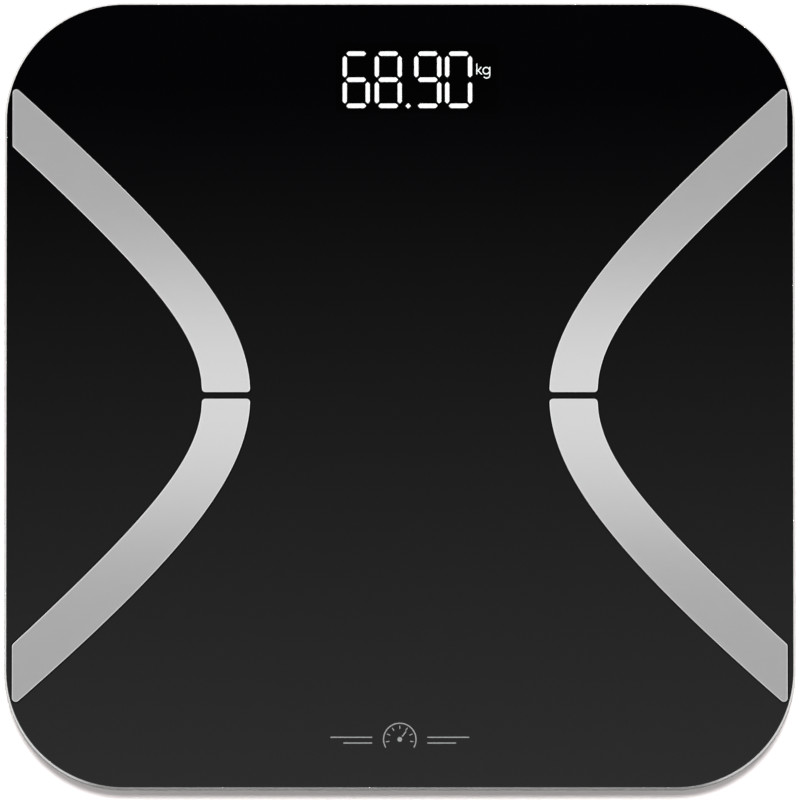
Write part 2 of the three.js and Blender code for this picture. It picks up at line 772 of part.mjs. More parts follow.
function batteryDoor() {
  const { halfX, halfY, thickness } = door;
  const top = cover.bottom + thickness;
  const hookEdge = tub.y - halfY;
  const latchEdge = tub.y + halfY;
  const plate = block(-halfX, halfX, hookEdge, latchEdge, cover.bottom, top);
  const hooks = sides.flatMap(([, sx]) => {
    const x0 = sx * hook.x - hook.width / 2;
    const x1 = sx * hook.x + hook.width / 2;
    const face = hookEdge + 0.2;
    return [
      block(x0, x1, face, face + hook.thickness, top - 0.5, hook.top),
      block(x0, x1, face - hook.lip, face + 0.1, hook.top - 0.7, hook.top),
    ];
  });
  const tongue = block(
    -latch.width / 2,
    latch.width / 2,
    latchEdge - latch.thickness - 0.2,
    latchEdge - 0.2,
    top - 0.5,
    latch.top,
  );
  const gripRibs = [6, 9, 12].map((inward) => (
    block(-9, 9, latchEdge - inward - 0.6, latchEdge - inward + 0.6, cover.bottom - 0.4, cover.bottom + 0.5)
  ));
  return mesh('battery_door', join(plate, ...hooks, tongue, ...gripRibs), mouldedPlastic());
}

// ---------------------------------------------------------------- leads

// The edge of the board that faces this side, and the first bend in front of it.
function boardEnd(sign, y) {
  const edge = sign < 0 ? board.x0 : board.x1;
  const z = board.bottom + board.thickness / 2;
  return [[edge + sign * 8, y - 1.5, z], [edge + sign * 3, y, z], [edge + sign * touchGap, y, z]];
}

// Routes are written for the right side; the other side mirrors all but the stretch at the board.
function leadRoutes(sign) {
  const on = (points) => points.map(([x, y, z]) => [sign * x, y, z]);
  const bracketSide = corner.x - bracket.half - touchGap;
  const studSide = stud.x - stud.radius - touchGap;
  return {
    load_cell_lead_rear: [
      ...on([[bracketSide, 113, 12.4], [78, 114, 12.4], [70, 122, 12.4]]),
      ...boardEnd(sign, 133),
    ],
    electrode_lead_rear: [
      ...on([[studSide, stud.y, 18], [90, 61, 17.6], [79, 67, 13], [70, 80, 11], [66, 100, 11], [62, 114, 12]]),
      ...boardEnd(sign, 125),
    ],
    electrode_lead_front: [
      ...on([[studSide, -stud.y, 18], [90, -59, 17.6], [78, -54, 13], [68, -44, 10.5], [64, -20, 10.2]]),
      ...on([[64, 30, 10.2], [63, 80, 10.2], [60, 100, 10.6]]),
      ...boardEnd(sign, 117),
    ],
    load_cell_lead_front: [
      ...on([[bracketSide, -113, 12.4], [78, -113, 12.4], [66, -108, 11], [58, -95, 10.2]]),
      ...on([[57, -50, 10.2], [57, 0, 10.2], [57, 60, 10.2], [57, 90, 10.4]]),
      ...boardEnd(sign, 109),
    ],
  };
}

function signalLeads() {
  return sides.flatMap(([side, sign]) => (
    Object.entries(leadRoutes(sign)).map(([name, route]) => (
      mesh(`${name}_${side}`, tube(route, leadRadius, 2 * route.length), greySleeve())
    ))
  ));
}

function batteryLeads() {
  const start = -(tub.halfX + tub.wall + 1.5 + touchGap);
  const endY = board.y0 - touchGap;
  const lead = (name, index, laneX, endX, material) => {
    const y = batteryY(index);
    const route = [
      [start, y, 14.2],
      [start - 2, y, 14.2],
      [laneX, y + 5, 12.5],
      [laneX, 75, 10.4],
      [laneX + 1, 90, 10.6],
      [endX, 98, 12.6],
      [endX, endY, 12.8],
    ];
    return mesh(name, tube(route, leadRadius, 14), material);
  };
  return [
    lead('battery_lead_black', 0, -39, -27, blackSleeve()),
    lead('battery_lead_red', 3, -34.5, -22, redSleeve()),
  ];
}

// ---------------------------------------------------------------- the whole scale

function corners() {
  return ends.flatMap(([end, sy]) => sides.map(([side, sx]) => cornerAssembly(end, side, sx, sy)));
}

const scale = new THREE.Group();
scale.name = 'digital_bathroom_scale';
scale.add(
  glassPlatform(),
  ...electrodes(),
  perimeterTape(),
  baseCover(),
  ...corners(),
  mainBoard(),
  ...boardScrewMeshes(),
  controllerChip(),
  displayHousing(),
  displayDiffuser(),
  unitButtonMesh(),
  switchPlunger(),
  tactSwitchMesh(),
  ...batteries(),
  ...batteryContacts(),
  batteryDoor(),
  ...signalLeads(),
  ...batteryLeads(),
);

export default scale;
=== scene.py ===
"""Looks of the digital bathroom scale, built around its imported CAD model.

Shapes are written in millimetres in the model's own frame (+Z up, +Y to the rear) and turned into metres
when a mesh is made.
"""

import math

import bmesh
import bpy
from mathutils import Matrix, Vector
from mathutils.geometry import delaunay_2d_cdt


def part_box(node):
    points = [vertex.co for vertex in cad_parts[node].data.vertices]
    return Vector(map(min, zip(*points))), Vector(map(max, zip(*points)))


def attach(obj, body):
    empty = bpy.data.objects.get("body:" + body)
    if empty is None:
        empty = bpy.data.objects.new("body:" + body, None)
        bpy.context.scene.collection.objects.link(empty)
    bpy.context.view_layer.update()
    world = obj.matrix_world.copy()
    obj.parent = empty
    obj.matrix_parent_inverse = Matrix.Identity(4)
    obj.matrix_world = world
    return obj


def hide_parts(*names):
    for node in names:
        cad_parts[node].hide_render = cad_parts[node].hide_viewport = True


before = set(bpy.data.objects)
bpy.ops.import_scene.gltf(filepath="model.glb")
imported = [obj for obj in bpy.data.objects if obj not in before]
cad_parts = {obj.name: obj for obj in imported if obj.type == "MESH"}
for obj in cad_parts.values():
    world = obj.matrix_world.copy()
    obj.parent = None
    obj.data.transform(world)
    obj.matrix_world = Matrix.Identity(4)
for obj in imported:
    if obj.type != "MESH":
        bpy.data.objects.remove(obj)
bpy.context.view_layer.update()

MM = 0.001
SIDES = (("left", -1), ("right", 1))
ENDS = (("front", -1), ("rear", 1))
CORNERS = [(f"{end}_{side}", sx, sy) for end, sy in ENDS for side, sx in SIDES]


# ---- the frame, in millimetres

def low(node):
    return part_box(node)[0] / MM


def high(node):
    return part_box(node)[1] / MM


def middle(node):
    return (low(node) + high(node)) / 2


PLATE_TOP = high("glass_platform").z
PLATE_HALF = high("glass_platform").x
COVER_BOTTOM = low("base_cover").z
COVER_TOP = high("base_cover").z
COVER_HALF = high("base_cover").x


# ---- outlines and profiles

def arc(cx, cy, radius, start, end, steps):
    """Points of an arc about (cx, cy), angles in degrees, both ends included."""
    turn = [math.radians(start + (end - start) * i / steps) for i in range(steps + 1)]
    return [(cx + radius * math.cos(a), cy + radius * math.sin(a)) for a in turn]


def circle(cx, cy, radius, steps):
    return arc(cx, cy, radius, 0, 360 * (steps - 1) / steps, steps - 1)


def rounded_rectangle(x0, x1, y0, y1, radius, steps=8):
    """Anticlockwise outline with four round corners."""
    x0, x1, y0, y1 = x0 + radius, x1 - radius, y0 + radius, y1 - radius
    centres = ((x1, y1), (x0, y1), (x0, y0), (x1, y0))
    return [p for i, at in enumerate(centres) for p in arc(*at, radius, 90 * i, 90 * i + 90, steps)]


def rounded_square(half, radius, steps):
    return rounded_rectangle(-half, half, -half, half, radius, steps)


def rounded_corner(before, at, after, radius, steps):
    """The arc that rounds one corner of a path, cut short where its edges are short."""
    before, at, after = Vector(before), Vector(at), Vector(after)
    back, on = before - at, after - at
    half_angle = back.angle(on) / 2
    if half_angle > math.radians(89):
        return [tuple(at)]
    reach = min(radius / math.tan(half_angle), back.length * 0.49, on.length * 0.49)
    radius = reach * math.tan(half_angle)
    centre = at + (back.normalized() + on.normalized()).normalized() * (radius / math.sin(half_angle))
    first = at + back.normalized() * reach - centre
    turn = math.copysign(math.pi - 2 * half_angle, back.cross(on))
    spun = [Matrix.Rotation(-turn * i / steps, 2) @ first + centre for i in range(steps + 1)]
    return [tuple(p) for p in spun]


def softened(path, radii, closed=False, steps=4):
    """A path whose corners are rounded, each by its own radius."""
    points = []
    for i, at in enumerate(path):
        radius = radii[i] if isinstance(radii, (list, tuple)) else radii
        is_end = not closed and i in (0, len(path) - 1)
        if is_end or not radius:
            points.append(tuple(at))
        else:
            points += rounded_corner(path[i - 1], at, path[(i + 1) % len(path)], radius, steps)
    return points


def inset(outline, distance):
    """An anticlockwise outline moved inwards, point by point along the bisector of its two edges."""
    moved = []
    for i, at in enumerate(outline):
        at = Vector(at)
        back = (at - Vector(outline[i - 1])).normalized()
        on = (Vector(outline[(i + 1) % len(outline)]) - at).normalized()
        along = (back + on).normalized()
        spread = distance / max(0.3, math.sqrt((1 + back.dot(on)) / 2))
        moved.append((at.x - along.y * spread, at.y + along.x * spread))
    return moved


def mirrored(outline, sign_x, sign_y):
    """The outline in the quarter that the signs name, still anticlockwise."""
    points = [(sign_x * x, sign_y * y) for x, y in outline]
    return points if sign_x * sign_y > 0 else points[::-1]


def inside(point, outline):
    """True if the point is inside the outline, by counting the edges to its right."""
    x, y = point
    crossings = 0
    for (x0, y0), (x1, y1) in zip(outline, outline[1:] + outline[:1]):
        if (y0 > y) != (y1 > y) and x < x0 + (y - y0) * (x1 - x0) / (y1 - y0):
            crossings += 1
    return crossings % 2 == 1


# ---- meshes

class Shape:
    """Vertices and faces in millimetres, with a material index for each face."""

    def __init__(self):
        self.points = []
        self.faces = []
        self.slots = []

    def ring(self, outline, z):
        start = len(self.points)
        self.points += [(x, y, z) for x, y in outline]
        return list(range(start, len(self.points)))

    def face(self, corners, slot=0):
        self.faces.append(corners)
        self.slots.append(slot)

    def bridge(self, lower, upper, slot=0):
        """Quads between two rings of the same length; anticlockwise rings give outward faces."""
        count = len(lower)
        for i in range(count):
            j = (i + 1) % count
            self.face((lower[i], lower[j], upper[j], upper[i]), slot)

    def skin(self, outline_at, profile):
        """One ring for each (inset, z) of the profile, joined one to the next."""
        rings = [self.ring(outline_at(distance), z) for distance, z in profile]
        for lower, upper in zip(rings, rings[1:]):
            self.bridge(lower, upper)
        return rings

    def fill(self, rings, up=True, slot_of=None, grid=0.0):
        """Fills a flat outline. Later rings are holes, or patches if slot_of gives their slot."""
        rings = [ring for ring in rings if ring]
        z = self.points[rings[0][0]][2]
        flat, owner, edges = [], [], []
        for ring in rings:
            start = len(flat)
            flat += [Vector(self.points[i][:2]) for i in ring]
            owner += ring
            edges += [(start + i, start + (i + 1) % len(ring)) for i in range(len(ring))]
        loops = [[self.points[i][:2] for i in ring] for ring in rings]
        for spot in grid_points(loops, grid):
            flat.append(Vector(spot))
            self.points.append((*spot, z))
            owner.append(len(self.points) - 1)
        places, _, triangles, sources, *_ = delaunay_2d_cdt(flat, edges, [], 1, 1e-7)
        for triangle in triangles:
            centre = sum((places[i] for i in triangle), Vector((0, 0))) / 3
            slot = 0
            for number, loop in enumerate(loops[1:]):
                if inside(centre, loop):
                    slot = slot_of[number] if slot_of else None
            if slot is None:
                continue
            corners = [owner[sources[i][0]] for i in triangle]
            self.face(corners if up else corners[::-1], slot)


def steps_between(values, spacing):
    """Even steps of about this spacing inside the range of the values."""
    start, span = min(values), max(values) - min(values)
    count = int(span / spacing)
    return [start + i * span / count for i in range(1, count)]


def grid_points(loops, spacing):
    """Points of a square grid inside the first loop, kept clear of every loop's points."""
    if not spacing:
        return []
    outer = loops[0]
    near = [p for loop in loops for p in loop]
    columns, rows = [steps_between([p[axis] for p in outer], spacing) for axis in (0, 1)]
    clear = (0.45 * spacing) ** 2
    spots = [(x, y) for x in columns for y in rows if inside((x, y), outer)]
    return [(x, y) for x, y in spots if all((x - px) ** 2 + (y - py) ** 2 > clear for px, py in near)]


def mesh_of(name, shape):
    mesh = bpy.data.meshes.new(name)
    mesh.from_pydata([tuple(c * MM for c in p) for p in shape.points], [], shape.faces)
    return mesh


def to_object(name, shape, *looks, smooth=38):
    mesh = mesh_of(name, shape)
    for polygon, slot in zip(mesh.polygons, shape.slots):
        polygon.material_index = slot
    return mesh_object(name, mesh, *looks, smooth=smooth)


def linked(name, data):
    made = bpy.data.objects.new(name, data)
    bpy.context.scene.collection.objects.link(made)
    return made


def mesh_object(name, mesh, *looks, smooth=38):
    """Links a mesh as a piece, with smooth shading up to an angle and flat faces kept flat."""
    mesh.name = name
    mesh.validate()
    piece = linked(name, mesh)
    for look in looks:
        mesh.materials.append(LOOKS[look])
    mesh.shade_smooth()
    mesh.set_sharp_from_angle(angle=math.radians(smooth))
    even = piece.modifiers.new("flat_faces_stay_flat", "WEIGHTED_NORMAL")
    even.mode = "FACE_AREA"
    even.weight = 100
    even.keep_sharp = True
    return piece


def loft(outline_at, profile, shape=None):
    """A closed solid: one ring for each (inset, z) of the profile, with flat ends."""
    shape = shape or Shape()
    rings = shape.skin(outline_at, profile)
    shape.face(rings[0][::-1])
    shape.face(rings[-1])
    if profile[-1][1] < profile[0][1]:
        shape.faces = [face[::-1] for face in shape.faces]
    return shape


def plate_profile(z0, z1, edge, steps=4):
    """(inset, z) of a plate whose top and bottom edges are rounded."""
    path = [(2 * edge, z0), (0, z0), (0, z1), (2 * edge, z1)]
    return softened(path, edge, steps=steps)


def turned(profile, steps, cx=0.0, cy=0.0):
    """A turned solid from [radius, z] pairs that start and end on the axis, going up its outside."""
    shape = Shape()
    rings = shape.skin(lambda radius: circle(cx, cy, radius, steps), profile[1:-1])
    for (_, z), ring, turn in ((profile[0], rings[0], -1), (profile[-1], rings[-1], 1)):
        shape.points.append((cx, cy, z))
        tip = len(shape.points) - 1
        for i in range(steps):
            corners = (ring[i], ring[(i + 1) % steps], tip)
            shape.face(corners[::turn])
    return shape


def cylinder(cx, cy, radius, z0, z1, steps=48):
    return loft(lambda d: circle(cx, cy, radius, steps), [(0, z0), (0, z1)])


def block(x0, x1, y0, y1, z0, z1, radius=0.0):
    if radius:
        return loft(lambda d: rounded_rectangle(x0, x1, y0, y1, radius, 4), [(0, z0), (0, z1)])
    corners = [(x1, y1), (x0, y1), (x0, y0), (x1, y0)]
    return loft(lambda d: corners, [(0, z0), (0, z1)])


def edited(mesh, edit):
    """The mesh after an edit in its editable form."""
    bm = bmesh.new()
    bm.from_mesh(mesh)
    edit(bm)
    bm.to_mesh(mesh)
    bm.free()
    return mesh


def raw_mesh(shape):
    return edited(mesh_of("tool", shape), lambda bm: bmesh.ops.recalc_face_normals(bm, faces=bm.faces))


def carved(base, added=(), removed=()):
    """One mesh from a base shape, shapes joined to it and shapes cut from it."""
    holder = linked("carving", raw_mesh(base))
    tools = []
    for operation, shapes in (("UNION", added), ("DIFFERENCE", removed)):
        for shape in shapes:
            tool = linked("tool", raw_mesh(shape))
            step = holder.modifiers.new(operation.lower(), "BOOLEAN")
            step.operation = operation
            step.solver = "MANIFOLD"
            step.object = tool
            tools.append(tool)
    bpy.context.view_layer.update()
    evaluated = holder.evaluated_get(bpy.context.evaluated_depsgraph_get())
    mesh = bpy.data.meshes.new_from_object(evaluated)
    mesh.materials.clear()
    for item in (*tools, holder):
        bpy.data.objects.remove(item)
    return edited(mesh, cleaned)


def cleaned(bm):
    """Merges the double vertices and the flat triangles that carving leaves."""
    bmesh.ops.remove_doubles(bm, verts=bm.verts, dist=0.002 * MM)
    bmesh.ops.dissolve_degenerate(bm, edges=bm.edges, dist=0.002 * MM)
    bmesh.ops.dissolve_limit(bm, angle_limit=math.radians(0.5), verts=bm.verts, edges=bm.edges)
    bmesh.ops.triangulate(bm, faces=bm.faces, quad_method="BEAUTY", ngon_method="BEAUTY")


def placed(piece, slot, *nodes, body="chassis"):
    """Rides the piece on its body and hides the CAD nodes that it stands for; the finish that it is given
    is not used.
    """
    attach(piece, body)
    if nodes:
        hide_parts(*nodes)
    return piece


# ---- material nodes

def adjust(node, settings):
    """Sets a node's input sockets, written with capitals and _ for a space, and its other settings."""
    for name, value in settings.items():
        if name[0].isupper():
            node.inputs[name.replace("_", " ")].default_value = value
        else:
            setattr(node, name, value)


def add_node(tree, kind, **settings):
    made = tree.nodes.new(kind)
    adjust(made, settings)
    return made


def limits(start, end, low_value, high_value):
    """Sockets of a node that maps the range from start to end to two new numbers."""
    return {"From_Min": start, "From_Max": end, "To_Min": low_value, "To_Max": high_value}


class Look:
    """A procedural material: a Principled shader with helpers that drive it from textures."""

    def __init__(self, name, colour, roughness, metallic=0.0, **sockets):
        self.material = bpy.data.materials.new(name)
        self.material.use_nodes = True
        self.tree = self.material.node_tree
        self.shader = self.tree.nodes["Principled BSDF"]
        adjust(self.shader, {"Base_Color": (*colour, 1), "Roughness": roughness, "Metallic": metallic})
        adjust(self.shader, sockets)
        self.place = self.node("ShaderNodeTexCoord").outputs["Object"]

    def node(self, kind, **settings):
        return add_node(self.tree, kind, **settings)

    def link(self, source, target):
        self.tree.links.new(source, target)

    def stretched(self, scale):
        """Object coordinates in millimetres, divided along each axis by the size of the pattern."""
        mapping = self.node("ShaderNodeMapping", Scale=tuple(1 / (size * MM) for size in scale))
        self.link(self.place, mapping.inputs["Vector"])
        return mapping.outputs["Vector"]

    def noise(self, size, detail=3.0, rough=0.55):
        """Noise from 0 to 1, its features this many millimetres across: one size, or one for each axis."""
        sizes = size if isinstance(size, tuple) else (size,) * 3
        texture = self.node("ShaderNodeTexNoise", Scale=1.0, Detail=detail, Roughness=rough)
        self.link(self.stretched(sizes), texture.inputs["Vector"])
        return texture.outputs["Fac"]

    def cells(self, size, feature="F1"):
        texture = self.node("ShaderNodeTexVoronoi", feature=feature, Scale=1.0)
        self.link(self.stretched((size,) * 3), texture.inputs["Vector"])
        return texture.outputs["Distance"]

    def spread(self, value, low_value, high_value, start=0.3, end=0.7):
        """The value's range from start to end, mapped to two new numbers."""
        mapped = self.node("ShaderNodeMapRange", **limits(start, end, low_value, high_value))
        self.link(value, mapped.inputs["Value"])
        return mapped.outputs["Result"]

    def blend(self, value, first, second):
        """A colour between two colours."""
        mix = self.node("ShaderNodeMix", data_type="RGBA")
        self.link(value, mix.inputs["Factor"])
        for socket, colour in ((mix.inputs[6], first), (mix.inputs[7], second)):
            if isinstance(colour, tuple):
                socket.default_value = (*colour, 1)
            else:
                self.link(colour, socket)
        return mix.outputs[2]

    def source(self, value):
        """The value itself, or noise if it is the size of noise."""
        return value if isinstance(value, bpy.types.NodeSocket) else self.noise(value)

    def colour(self, value, first, second):
        self.link(self.blend(self.source(value), first, second), self.shader.inputs["Base Color"])
        return self

    def roughness(self, value, low_value, high_value):
        self.link(self.spread(self.source(value), low_value, high_value), self.shader.inputs["Roughness"])
        return self

    def bump(self, value, depth, strength):
        """Raises the surface by up to depth millimetres."""
        node = self.node("ShaderNodeBump", Strength=strength, Distance=depth * MM)
        self.link(value, node.inputs["Height"])
        self.link(node.outputs["Normal"], self.shader.inputs["Normal"])
        return self


def printed_glass():
    look = Look("black_printed_glass", (0.0005, 0.0005, 0.0007), 0.035, IOR=1.5)
    look.colour(60.0, (0.0004, 0.0004, 0.0006), (0.0006, 0.0006, 0.0008))
    return look.roughness(look.noise((22.0, 9.0, 20.0), 5.0), 0.025, 0.05).material


def smoked_window(name, alpha, specular):
    look = Look(name, (0.0004, 0.0004, 0.0005), 0.035, IOR=1.5, Alpha=alpha, Specular_IOR_Level=specular)
    return look.roughness(look.noise((22.0, 9.0, 20.0), 5.0), 0.025, 0.05).material


def ground_edge():
    """The finely ground and polished rim: more of a mirror than the print, and pale."""
    look = Look("ground_glass_edge", (0.4, 0.402, 0.4), 0.17, 0.8, IOR=1.5)
    look.colour(18.0, (0.385, 0.388, 0.386), (0.415, 0.418, 0.416))
    look.roughness((6.0, 6.0, 2.0), 0.155, 0.185)
    return look.bump(look.noise(0.12, 2.0), 0.0012, 0.4).material


def glass_side():
    """The upright side and lower edge, through which the black print shows."""
    look = Look("glass_side", (0.022, 0.028, 0.026), 0.5, IOR=1.5, Specular_IOR_Level=0.11)
    look.colour((9.0, 9.0, 3.0), (0.019, 0.025, 0.023), (0.026, 0.033, 0.031))
    return look.roughness((5.0, 5.0, 2.0), 0.46, 0.56).material


def mark_ink():
    look = Look("grey_print", (0.14, 0.143, 0.143), 0.4)
    look.colour(0.4, (0.13, 0.133, 0.133), (0.155, 0.158, 0.158))
    return look.roughness(2.0, 0.3, 0.45).material


def satin_steel():
    look = Look("satin_steel", (0.745, 0.742, 0.745), 0.32, 1.0)
    grain = look.noise((14.0, 0.16, 0.16), 4.0, 0.6)
    look.colour(grain, (0.725, 0.722, 0.725), (0.765, 0.762, 0.765))
    look.roughness((9.0, 0.5, 0.5), 0.3, 0.34)
    return look.bump(grain, 0.0025, 0.35).material


# Painted shade: a matte black finish without gloss, for the ring that draws the dark contact-shade line
# round each electrode.
def painted_shade_line_look():
    look = Look("painted_shade_line_black", (0.0003, 0.0003, 0.0003), 0.9, Specular_IOR_Level=0.0)
    look.colour(0.6, (0.0002, 0.0002, 0.0002), (0.0005, 0.0005, 0.0005))
    return look.roughness(0.6, 0.8, 0.95).material


def textured_plastic(name, colour, worn, grain=0.35, depth=0.03):
    look = Look(name, colour, 0.55, Specular_IOR_Level=0.45)
    look.colour(look.noise(35.0, 6.0), colour, worn)
    look.roughness(0.9, 0.46, 0.64)
    return look.bump(look.cells(grain, "SMOOTH_F1"), depth, 0.6).material


def foam():
    look = Look("foam_tape", (0.02, 0.02, 0.021), 0.95, Specular_IOR_Level=0.2)
    look.colour(0.5, (0.014, 0.014, 0.015), (0.03, 0.03, 0.032))
    return look.bump(look.cells(0.35), 0.12, 0.8).material


def soft_rubber():
    look = Look("soft_rubber", (0.024, 0.025, 0.028), 0.85, Specular_IOR_Level=0.3)
    look.colour(look.noise(3.0, 5.0), (0.019, 0.02, 0.022), (0.034, 0.035, 0.038))
    look.roughness(1.2, 0.75, 0.95)
    return look.bump(look.noise(0.25, 5.0), 0.03, 0.6).material


def brushed_metal(name, dark, light, low_rough, high_rough, grain):
    look = Look(name, light, low_rough, 1.0)
    lines = look.noise(grain, 4.0)
    look.colour(look.noise(6.0, 5.0), dark, light)
    look.roughness(lines, low_rough, high_rough)
    return look.bump(lines, 0.006, 0.5).material


def solder_resist():
    """Green board: lighter over its copper tracks, with a fine weave under it."""
    look = Look("green_circuit_board", (0.008, 0.09, 0.035), 0.35)
    sizes = {"Scale": 1.0, "Mortar_Size": 0.09, "Brick_Width": 1.9, "Row_Height": 0.55}
    tracks = look.node("ShaderNodeTexBrick", offset=0.35, squash=1.0, **sizes)
    look.link(look.stretched((3.0, 3.0, 3.0)), tracks.inputs["Vector"])
    look.colour(tracks.outputs["Fac"], (0.006, 0.07, 0.028), (0.02, 0.16, 0.06))
    look.roughness(1.5, 0.25, 0.4)
    return look.bump(tracks.outputs["Fac"], 0.03, 0.6).material


def chip_resin():
    look = Look("chip_resin", (0.011, 0.011, 0.012), 0.5)
    look.colour(look.noise(0.8, 5.0), (0.009, 0.009, 0.01), (0.018, 0.018, 0.019))
    return look.bump(look.noise(0.15, 4.0), 0.01, 0.5).material


def display_black():
    look = Look("display_mask", (0.0008, 0.0008, 0.0008), 0.7, Specular_IOR_Level=0.05)
    look.roughness(0.7, 0.6, 0.8)
    return look.bump(look.noise(0.2), 0.01, 0.3).material


def lit_resin():
    """Milky resin with the light behind it."""
    glow = {"Emission_Color": (0.96, 0.98, 1.0, 1), "Emission_Strength": 8.6}
    look = Look("lit_segment", (0.9, 0.92, 0.95), 0.4, **glow)
    return look.colour(2.0, (0.86, 0.89, 0.93), (0.94, 0.95, 0.97)).material


def unlit_resin():
    look = Look("unlit_segment", (0.001, 0.001, 0.001), 0.6, Specular_IOR_Level=0.05)
    return look.roughness(1.0, 0.5, 0.7).material


def insulation(name, colour, light):
    look = Look(name, colour, 0.4)
    look.colour(look.noise(4.0, 4.0), colour, light)
    return look.roughness(1.0, 0.32, 0.48).material


def cell_sleeve():
    """Printed film round a cell: a plain dark body and a light band at the end with the nub."""
    look = Look("cell_sleeve", (0.04, 0.08, 0.15), 0.3, Coat_Weight=0.4)
    split = look.node("ShaderNodeSeparateXYZ")
    look.link(look.place, split.inputs[0])
    band = look.spread(split.outputs["X"], 0.0, 1.0, 12.0 * MM, 12.2 * MM)
    film = look.blend(look.noise(3.0), (0.035, 0.07, 0.14), (0.05, 0.095, 0.18))
    copper = look.blend(look.noise(3.0), (0.5, 0.26, 0.12), (0.62, 0.34, 0.17))
    look.link(look.blend(band, film, copper), look.shader.inputs["Base Color"])
    return look.roughness(5.0, 0.24, 0.36).material


def pale_floor():
    look = Look("pale_floor", (0.845, 0.8, 0.798), 0.7, Specular_IOR_Level=0.0)
    return look.colour(400.0, (0.83, 0.785, 0.783), (0.86, 0.815, 0.813)).material


LOOKS = {
    "glass": printed_glass(),
    "window": smoked_window("smoked_display_window", 0.85, 0.58),
    "window_back": smoked_window("clear_window_back", 0.2, 0.5),
    "edge": ground_edge(),
    "side": glass_side(),
    "ink": mark_ink(),
    "steel": satin_steel(),
    "painted_shade_line": painted_shade_line_look(),
    "cover": textured_plastic("black_moulded_plastic", (0.015, 0.0155, 0.0165), (0.021, 0.0215, 0.0225)),
    "grey": textured_plastic(
        "grey_moulded_plastic", (0.042, 0.045, 0.048), (0.056, 0.06, 0.063), 0.25, 0.02
    ),
    "foam": foam(),
    "rubber": soft_rubber(),
    "nickel": brushed_metal("nickel_plate", (0.5,) * 3, (0.64, 0.64, 0.65), 0.25, 0.42, (4.0, 0.2, 0.2)),
    "zinc": brushed_metal("zinc_plate", (0.38, 0.39, 0.42), (0.52, 0.52, 0.52), 0.3, 0.45, 0.4),
    "board": solder_resist(),
    "chip": chip_resin(),
    "mask": display_black(),
    "lit": lit_resin(),
    "unlit": unlit_resin(),
    "red": insulation("red_sleeve", (0.42, 0.018, 0.012), (0.5, 0.03, 0.02)),
    "black": insulation("black_sleeve", (0.009, 0.009, 0.01), (0.018, 0.018, 0.019)),
    "pale": insulation("grey_sleeve", (0.3, 0.31, 0.32), (0.38, 0.39, 0.4)),
    "cell": cell_sleeve(),
    "floor": pale_floor(),
}


# ---- glass platform

GLASS_CORNER = 45.7
GLASS_CHAMFER = 0.8
STUD_HOLE = 3.0
PRINT_GAP = 0.03
STUD_AT = (99.0, 60.0)
WINDOW_MARGIN = 1.5
MARK = {"line": 0.42, "radius": 6.2, "from_front": 13.0, "ticks": 7, "gap": 10.5}
MARK_LINES = ((26.5, 0.6), (21.5, -1.6))


def plate_outline(distance):
    return rounded_square(PLATE_HALF - distance, GLASS_CORNER - distance, 32)


def display_window():
    """The clear area in the print, over the display and a little smaller than its face."""
    lo, hi = low("display_housing"), high("display_housing")
    margin = WINDOW_MARGIN
    return rounded_rectangle(lo.x + margin, hi.x - margin, lo.y + margin, hi.y - margin, 2.0, 6)


def ribbon(cx, cy, radius, start, end, width, steps=28):
    """The outline of a curved stroke."""
    outer = arc(cx, cy, radius + width / 2, start, end, steps)
    inner = arc(cx, cy, radius - width / 2, end, start, steps)
    return outer + inner


def stroke(x0, y0, x1, y1, width):
    """The outline of a straight stroke."""
    across = Vector((y0 - y1, x1 - x0)).normalized() * (width / 2)
    corners = ((x0, y0, -1), (x1, y1, -1), (x1, y1, 1), (x0, y0, 1))
    return [(x + side * across.x, y + side * across.y) for x, y, side in corners]


def printed_mark():
    """A plain dial between thin lines, printed in the middle of the front."""
    line, radius, last = MARK["line"], MARK["radius"], MARK["ticks"] - 1
    cy = MARK["from_front"] - PLATE_HALF + radius
    outlines = [ribbon(0, cy, radius, -30, 210, line)]
    for step in range(last + 1):
        angle = math.radians(-10 + step * 200 / last)
        near, far = radius - 2.2, radius - 0.9
        c, s = math.cos(angle), math.sin(angle)
        outlines.append(stroke(near * c, cy + near * s, far * c, cy + far * s, line * 0.8))
    outlines.append(stroke(0.9, cy + 1.1, 2.4, cy + 3.0, line))
    outlines.append(circle(0, cy, 0.9, 20))
    for side in (-1, 1):
        for end, rise in MARK_LINES:
            x0, x1 = sorted((side * MARK["gap"], side * end))
            outlines.append(rounded_rectangle(x0, x1, cy + rise, cy + rise + line, line * 0.45, 3))
    return outlines


def glass_platform():
    lo, hi = low("glass_platform"), high("glass_platform")
    edge = GLASS_CHAMFER
    path = [(edge, lo.z), (0, lo.z + edge), (0, hi.z - edge), (edge, hi.z)]
    shape = Shape()
    profile = softened(path, 0.25, steps=3)
    rings = [shape.ring(plate_outline(d), z) for d, z in profile]
    for i, (_, z) in enumerate(profile[:-1]):
        shape.bridge(rings[i], rings[i + 1], 1 if z > hi.z - edge + 0.05 else 4)
    rims = [shape.ring(plate_outline(edge + PRINT_GAP), z) for z in (lo.z, hi.z)]
    shape.bridge(rims[0], rings[0], 1)
    shape.bridge(rings[-1], rims[1], 1)
    hole = [mirrored(circle(*STUD_AT, STUD_HOLE, 32), sx, sy) for _, sx, sy in CORNERS]
    below = [shape.ring(outline, lo.z) for outline in hole]
    above = [shape.ring(outline, hi.z) for outline in hole]
    for lower, upper in zip(below, above):
        shape.bridge(upper, lower, 1)
    windows = [shape.ring(display_window(), z) for z in (lo.z, hi.z)]
    marks = [shape.ring(outline, hi.z) for outline in printed_mark()]
    shape.fill([rims[0], *below, windows[0]], False, [None] * 4 + [5], 20.0)
    shape.fill([rims[1], *above, windows[1], *marks], True, [None] * 4 + [2] + [3] * len(marks), 20.0)
    looks = ("glass", "edge", "window", "ink", "side", "window_back")
    return placed(to_object("glass_plate", shape, *looks, smooth=30), "black_glass", "glass_platform")


# ---- electrodes

